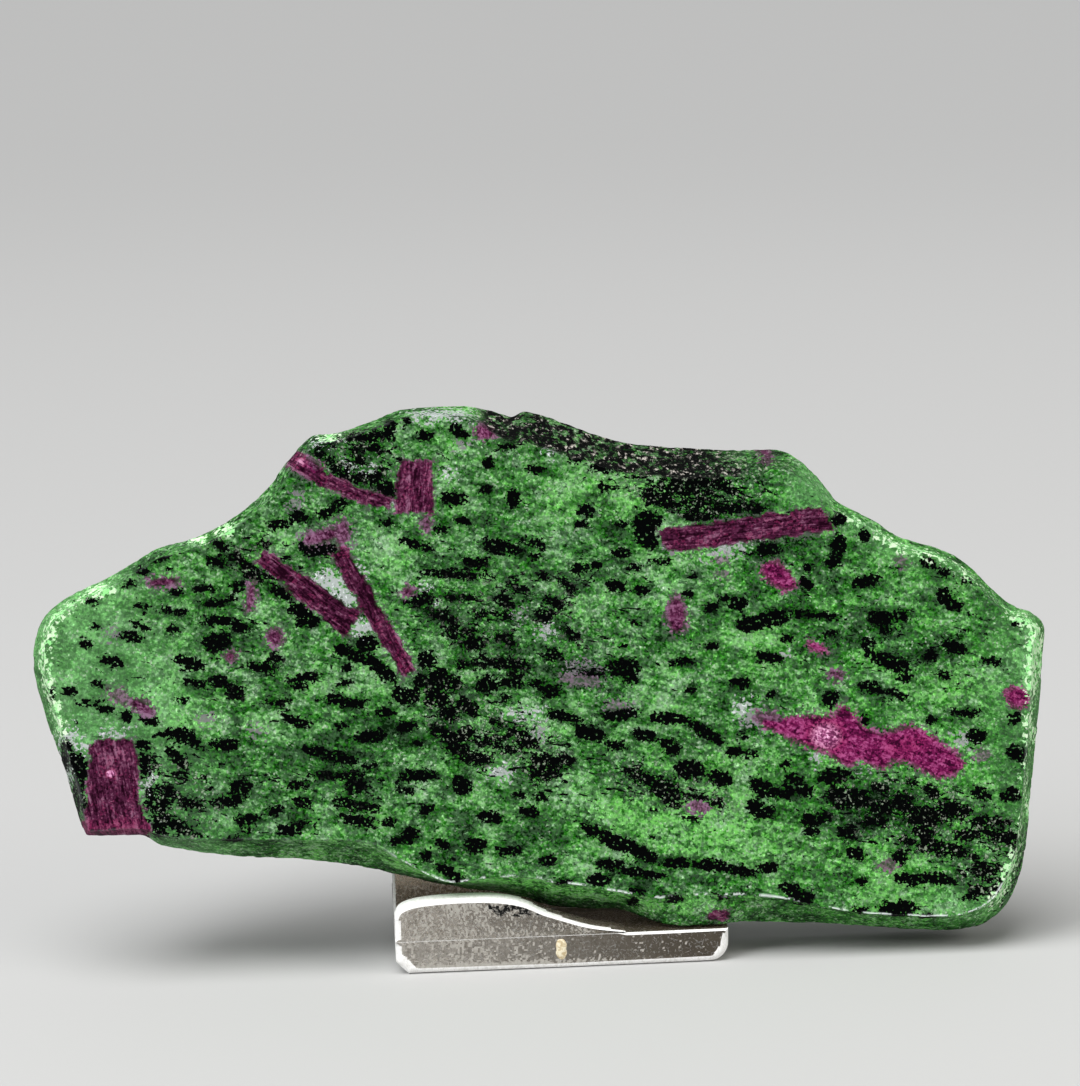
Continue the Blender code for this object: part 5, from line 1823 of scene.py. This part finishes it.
@dataclass
class AcrylicStand:
    """The stand: base plate, wavy front lip, leaning back rest and one drop of glue."""

    frame: SlabFrame
    width: float = 50.0
    depth: float = 36.0
    sheet: float = 5.0
    stone_thickness: float = 15.0
    rest_height: float = 26.0
    rest_corner: float = 5.0
    rest_bevel: float = 0.4
    chamfer: float = 1.8
    round_corner: float = 2.8
    gap: float = 0.3
    seam: float = 0.02
    glue_place: tuple[float, float] = (-0.2, 2.95)
    glue_size: tuple[float, float, float] = (0.95, 0.22, 1.6)

    def build(self, clear: Material, shaded_rest: Material, ground: Material,
              glue: Material) -> list[Piece]:
        """Makes the stand's pieces, in clear sheet with a back rest darkened by painted shade, and ground
        edges.
        """
        pieces = [plate.build(clear, ground) for plate in (self._base(), self._lip())]
        return [*pieces, self._rest().build(shaded_rest, ground), self._glue(glue)]

    def _upright(self, a: Array, b: Array, w: Array) -> Array:
        """Places on the upright front plane: x = a, y = front + w, z = b."""
        return np.stack([a, w - self.depth / 2, b], axis=-1) * MM

    def _base_scuffs_and_glow(self, a: Array, b: Array) -> Array:
        """Share of the base's front that is scuffed: more to the left, and along the foot a band of painted
        glow that fades to the right.
        """
        return 0.03 + 0.33 * ease(a, 6.0, -20.0) + 0.9 * ease(b, 1.7, 0.9) * ease(a, 18.0, -12.0)

    def _base(self) -> Plate:
        """The base plate: a chamfer at its lower left corner and a round at its lower right.

        Returns:
            The plate.
        """
        half, r, c = self.width / 2, self.round_corner, self.chamfer
        turn = np.linspace(0.0, math.pi / 2, 9)
        round_side = [(half - r + r * math.cos(t), r - r * math.sin(t), 1.3 - 0.25 * t) for t in turn]
        left = [(-half + c, 0.0, 0.8), (-half, c, 0.9), (-half, self.sheet - 0.35, 0.9),
                (-half, self.sheet, 0.04)]
        top = [(-half, self.sheet, 0.04), (8.4, self.sheet, 0.04), (9.6, self.sheet, 0.35),
               (half, self.sheet, 0.40)]
        right = [(half, self.sheet, 0.9), (half, r, 1.3), *round_side[1:]]
        bottom = [(half - r, 0.0, 0.9), (0.0, 0.0, 0.7), (-half + c, 0.0, 0.9)]
        return Plate(
            "acrylic_base_plate", ("stand_base",), (left, top, right, bottom), self.depth,
            self._upright, across=160, up=24, back_bevel=0.4, scuffs=self._base_scuffs_and_glow,
            corner_patches=((-half, 0.0, 4.0, 4.2), (half, 0.0, -3.2, 4.4)), clear_above=self.sheet - 0.02)

    def _lip_scuffs(self, a: Array, b: Array) -> Array:
        """Share of the lip's front that is scuffed: more below its top edge at the left."""
        return 0.20 + 0.36 * ease(b, 7.0, 10.5) * ease(a, 2.0, -8.0)

    def _lip(self) -> Plate:
        """The front lip: its top edge is a smooth curve through given heights.

        Returns:
            The plate.
        """
        foot = self.sheet + self.seam
        along, height = smooth_curve(LIP_TOP, closed=False).T
        height = height + self.sheet
        bevel = np.minimum(np.interp(along, (-8.0, -1.0, 6.0), (0.55, 0.30, 0.32)), 0.95 * (height - foot))
        top = np.column_stack([along, height, bevel])
        left = [(along[0], foot, 0.04), (along[0], foot + 0.35, 0.9), (along[0], height[0], 0.9)]
        right = [tuple(top[-1]), (along[-1], foot, 0.04)]
        bottom = [(along[-1], foot, 0.04), (along[0], foot, 0.04)]
        return Plate(
            "acrylic_front_lip", ("stand_front_lip",), (left, top, right, bottom), self.sheet,
            self._upright, across=150, up=24, back_bevel=1.4, back_follows=True, clear_above=self.sheet + 0.2,
            frosting=((-9.0, 0.0, 9.5), (5.0, 1.6, 0.5)), scuffs=self._lip_scuffs,
            dark_patch=(-5.9, 9.8, 3.7, 1.25))

    def _rest_foot(self, w: Array | float) -> Array | float:
        """The v of the back rest's level foot, at a depth into its sheet."""
        return self.frame.height_on_face(self.sheet + self.gap, self.stone_thickness + self.gap + w)

    def _leaning(self, a: Array, b: Array, w: Array) -> Array:
        """Places on the rest: its foot is cut level, so it shortens towards the back.

        Args:
            a: places to the right.
            b: places up its front.
            w: depth into the sheet.

        Returns:
            World places.
        """
        low, foot = self._rest_foot(0.0), self._rest_foot(w)
        high = low + self.rest_height
        share = (b - low) / (high - low)
        return self.frame.world(a, foot + share * (high - foot), self.stone_thickness + self.gap + w)

    def _rest(self) -> Plate:
        """The back rest: an upright sheet with rounded upper corners, leaning with the stone.

        Returns:
            The plate.
        """
        half, r, bevel = self.width / 2, self.rest_corner, self.rest_bevel
        low = self._rest_foot(0.0)
        high = low + self.rest_height
        turn = np.linspace(0.0, math.pi / 2, 9)
        rising = [(-half + r - r * math.cos(t), high - r + r * math.sin(t), bevel) for t in turn]
        falling = [(half - r + r * math.sin(t), high - r + r * math.cos(t), bevel) for t in turn]
        sides = (
            [(-half, low, bevel), *rising[:5]], [*rising[4:], *falling[:5]],
            [*falling[4:], (half, low, bevel)], [(half, low, bevel / 2), (-half, low, bevel / 2)],
        )
        return Plate("acrylic_back_rest", ("stand_back_rest",), sides, self.sheet, self._leaning,
                     across=110, up=60, back_bevel=bevel)

    def _glue(self, glue: Material) -> Piece:
        """The drop of glue on the base's front: a flat ball with a waist, sunk into it by half.

        Longitude and latitude give sphere places; x and z are drawn in at the waist by
        1 - 0.22 exp(-(z / 0.3)^2), and all three are scaled to the drop's size.

        Args:
            glue: its finish.

        Returns:
            The piece.
        """
        rows, columns = 25, 36
        lat = np.linspace(-math.pi / 2, math.pi / 2, rows)[1:-1, None]
        lon = np.linspace(0.0, 2 * math.pi, columns, endpoint=False)[None, :]
        ball = np.stack(np.broadcast_arrays(
            np.cos(lat) * np.cos(lon), np.cos(lat) * np.sin(lon), np.sin(lat)), axis=-1).reshape(-1, 3)
        ball = np.vstack([ball, [[0, 0, -1.0], [0, 0, 1.0]]])
        ball[:, 0] *= 1.0 - 0.22 * np.exp(-(ball[:, 2] / 0.3) ** 2)
        ball *= 1.0 + 0.10 * (Grit(31).soft(ball + 5.0, 0.45)[:, None] - 0.5)
        x, z = self.glue_place
        centre = np.array([x, -self.depth / 2, z])
        around, after = np.arange(columns), (np.arange(columns) + 1) % columns
        south, north, last = len(ball) - 2, len(ball) - 1, (rows - 3) * columns
        caps = np.vstack([
            np.stack([after, around, np.full(columns, south)], axis=1),
            np.stack([last + around, last + after, np.full(columns, north)], axis=1)])
        places = (centre + ball * self.glue_size) * MM
        piece = make_piece("glue_drop", places, [ring_cells(rows - 2, columns), caps])
        piece.data.materials.append(glue)
        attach(piece, "root")
        return piece


@dataclass(frozen=True)
class PaleFloor:
    """A matt pale studio floor."""

    colour: Colour = (0.46, 0.46, 0.455)
    roughness: float = 0.75
    unevenness: float = 1.012

    def material(self) -> Material:
        """Wires the floor, with a barely uneven tone.

        Returns:
            The material.
        """
        w = Wiring("pale_floor")
        paler = tuple(self.unevenness * c for c in self.colour)
        w.set(Base_Color=w.mix(w.span(w.noise(w.place(), 2.5, 1.0), 0.3, 0.7), self.colour, paler),
              Roughness=self.roughness)
        return w.material


@dataclass(frozen=True)
class SoftLight:
    """A square soft light that points at the stone."""

    name: str
    place: tuple[float, float, float]
    side: float
    power: float
    colour: Colour = (1.0, 1.0, 1.0)

    def build(self, target: Sequence[float]) -> None:
        """Makes the light.

        Args:
            target: the place that it is turned to.
        """
        lamp = bpy.data.lights.new(self.name, "AREA")
        lamp.shape, lamp.size = "SQUARE", self.side
        lamp.energy, lamp.color = self.power, self.colour
        holder = add_to_scene(self.name, lamp)
        holder.location = self.place
        turn_to(holder, Vector(target) - Vector(self.place))


@dataclass(frozen=True)
class LongLens:
    """A camera with a long lens, slightly above the stone, a little turned and rolled."""

    pitch: float = math.radians(10.0)
    yaw: float = math.radians(2.5)
    roll: float = math.radians(1.75)
    distance: float = 0.650
    look: tuple[float, float, float] = (-0.0012, -0.010, 0.0634)
    pixels_per_metre: float = 6700.0
    long_side: float = 1086.0
    sensor: float = 36.0
    reach: tuple[float, float] = (0.01, 50.0)

    def build(self) -> None:
        """Makes the camera: its focal length is that of the scale at the stone's distance."""
        level_share, drop = math.cos(self.pitch), math.sin(self.pitch)
        forward = Vector((math.sin(self.yaw) * level_share, math.cos(self.yaw) * level_share, -drop))
        level = Vector((math.cos(self.yaw), -math.sin(self.yaw), 0.0))
        upright = level.cross(forward)
        right = math.cos(self.roll) * level - math.sin(self.roll) * upright
        up = math.sin(self.roll) * level + math.cos(self.roll) * upright
        data = bpy.data.cameras.new("studio_camera")
        data.sensor_width = self.sensor
        data.lens = self.pixels_per_metre * self.distance / self.long_side * self.sensor
        data.clip_start, data.clip_end = self.reach
        camera = add_to_scene("studio_camera", data)
        axes = Matrix((right, up, -forward)).transposed().to_4x4()
        camera.matrix_world = Matrix.Translation(Vector(self.look) - self.distance * forward) @ axes
        bpy.context.scene.camera = camera


@dataclass
class Studio:
    """Floor, lights, world and camera."""

    target: tuple[float, float, float] = (0.0, 0.0, 0.04)
    floor_radius: float = 7.0
    floor_drop: float = 0.00004
    lights: tuple[SoftLight, ...] = (
        SoftLight("key_upper_left", (-0.62, -0.50, 0.62), 0.50, 4.6, (0.98, 0.985, 1.0)),
        SoftLight("fill_right", (0.75, -0.42, 0.42), 0.55, 3.0, (1.0, 0.98, 0.92)),
        SoftLight("rim_behind", (0.10, 0.62, 0.76), 0.90, 0.8),
    )
    sun_strength: float = 3.3
    sun_spread: float = math.radians(50.0)
    sun_direction: tuple[float, float, float] = (0.25, 0.30, -1.0)
    world_tone: Colour = (0.17, 0.172, 0.175)

    def build(self) -> None:
        """Makes everything round the object."""
        self._floor()
        for light in self.lights:
            light.build(self.target)
        self._sky()
        LongLens().build()
        bpy.context.scene.view_settings.view_transform = "Standard"

    def _floor(self) -> None:
        """A flat disc, from the centre in ever wider rings: radius = R * share squared."""
        rings, columns = 24, 96
        radius = self.floor_radius * (np.arange(1, rings + 1) / rings)[:, None] ** 2
        turn = np.linspace(0.0, 2 * math.pi, columns, endpoint=False)[None, :]
        x, y = (radius * np.cos(turn)).ravel(), (radius * np.sin(turn)).ravel()
        flat = np.vstack([np.stack([x, y, 0 * x], axis=1), [[0.0, 0.0, 0.0]]])
        flat[:, 2] = -self.floor_drop
        quads = ring_cells(rings, columns)[:, [0, 3, 2, 1]]
        around = np.arange(columns)
        centre = np.stack([np.full(columns, len(flat) - 1), around, (around + 1) % columns], axis=1)
        floor = make_piece("studio_floor", flat, [quads, centre])
        floor.data.materials.append(PaleFloor().material())

    def _sky(self) -> None:
        """A dim even surround and a broad, soft overhead sun that evens out the floor."""
        world = bpy.data.worlds.new("dim_studio")
        world.use_nodes = True
        world.node_tree.nodes["Background"].inputs["Color"].default_value = (*self.world_tone, 1.0)
        bpy.context.scene.world = world
        lamp = bpy.data.lights.new("overhead", "SUN")
        lamp.energy, lamp.angle = self.sun_strength, self.sun_spread
        turn_to(add_to_scene("overhead", lamp), Vector(self.sun_direction))


def main() -> None:
    """Builds the stone, its stand and the studio, and reports each piece."""
    logging.basicConfig(level=logging.INFO, format="%(name)s: %(message)s")
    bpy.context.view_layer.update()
    slab = SlabFrame()
    pieces = [Stone(slab).build(StoneFinish())]
    pieces += AcrylicStand(slab).build(
        ClearAcrylic().material(), SHADED_REST_SHEET.material(), GroundEdge().material(), DriedGlue().material())
    for piece in pieces:
        log.info("%s: %d vertices, %d faces", piece.name, len(piece.data.vertices), len(piece.data.polygons))
    Studio().build()
    bpy.context.view_layer.update()


if __name__ == "__main__":
    main()
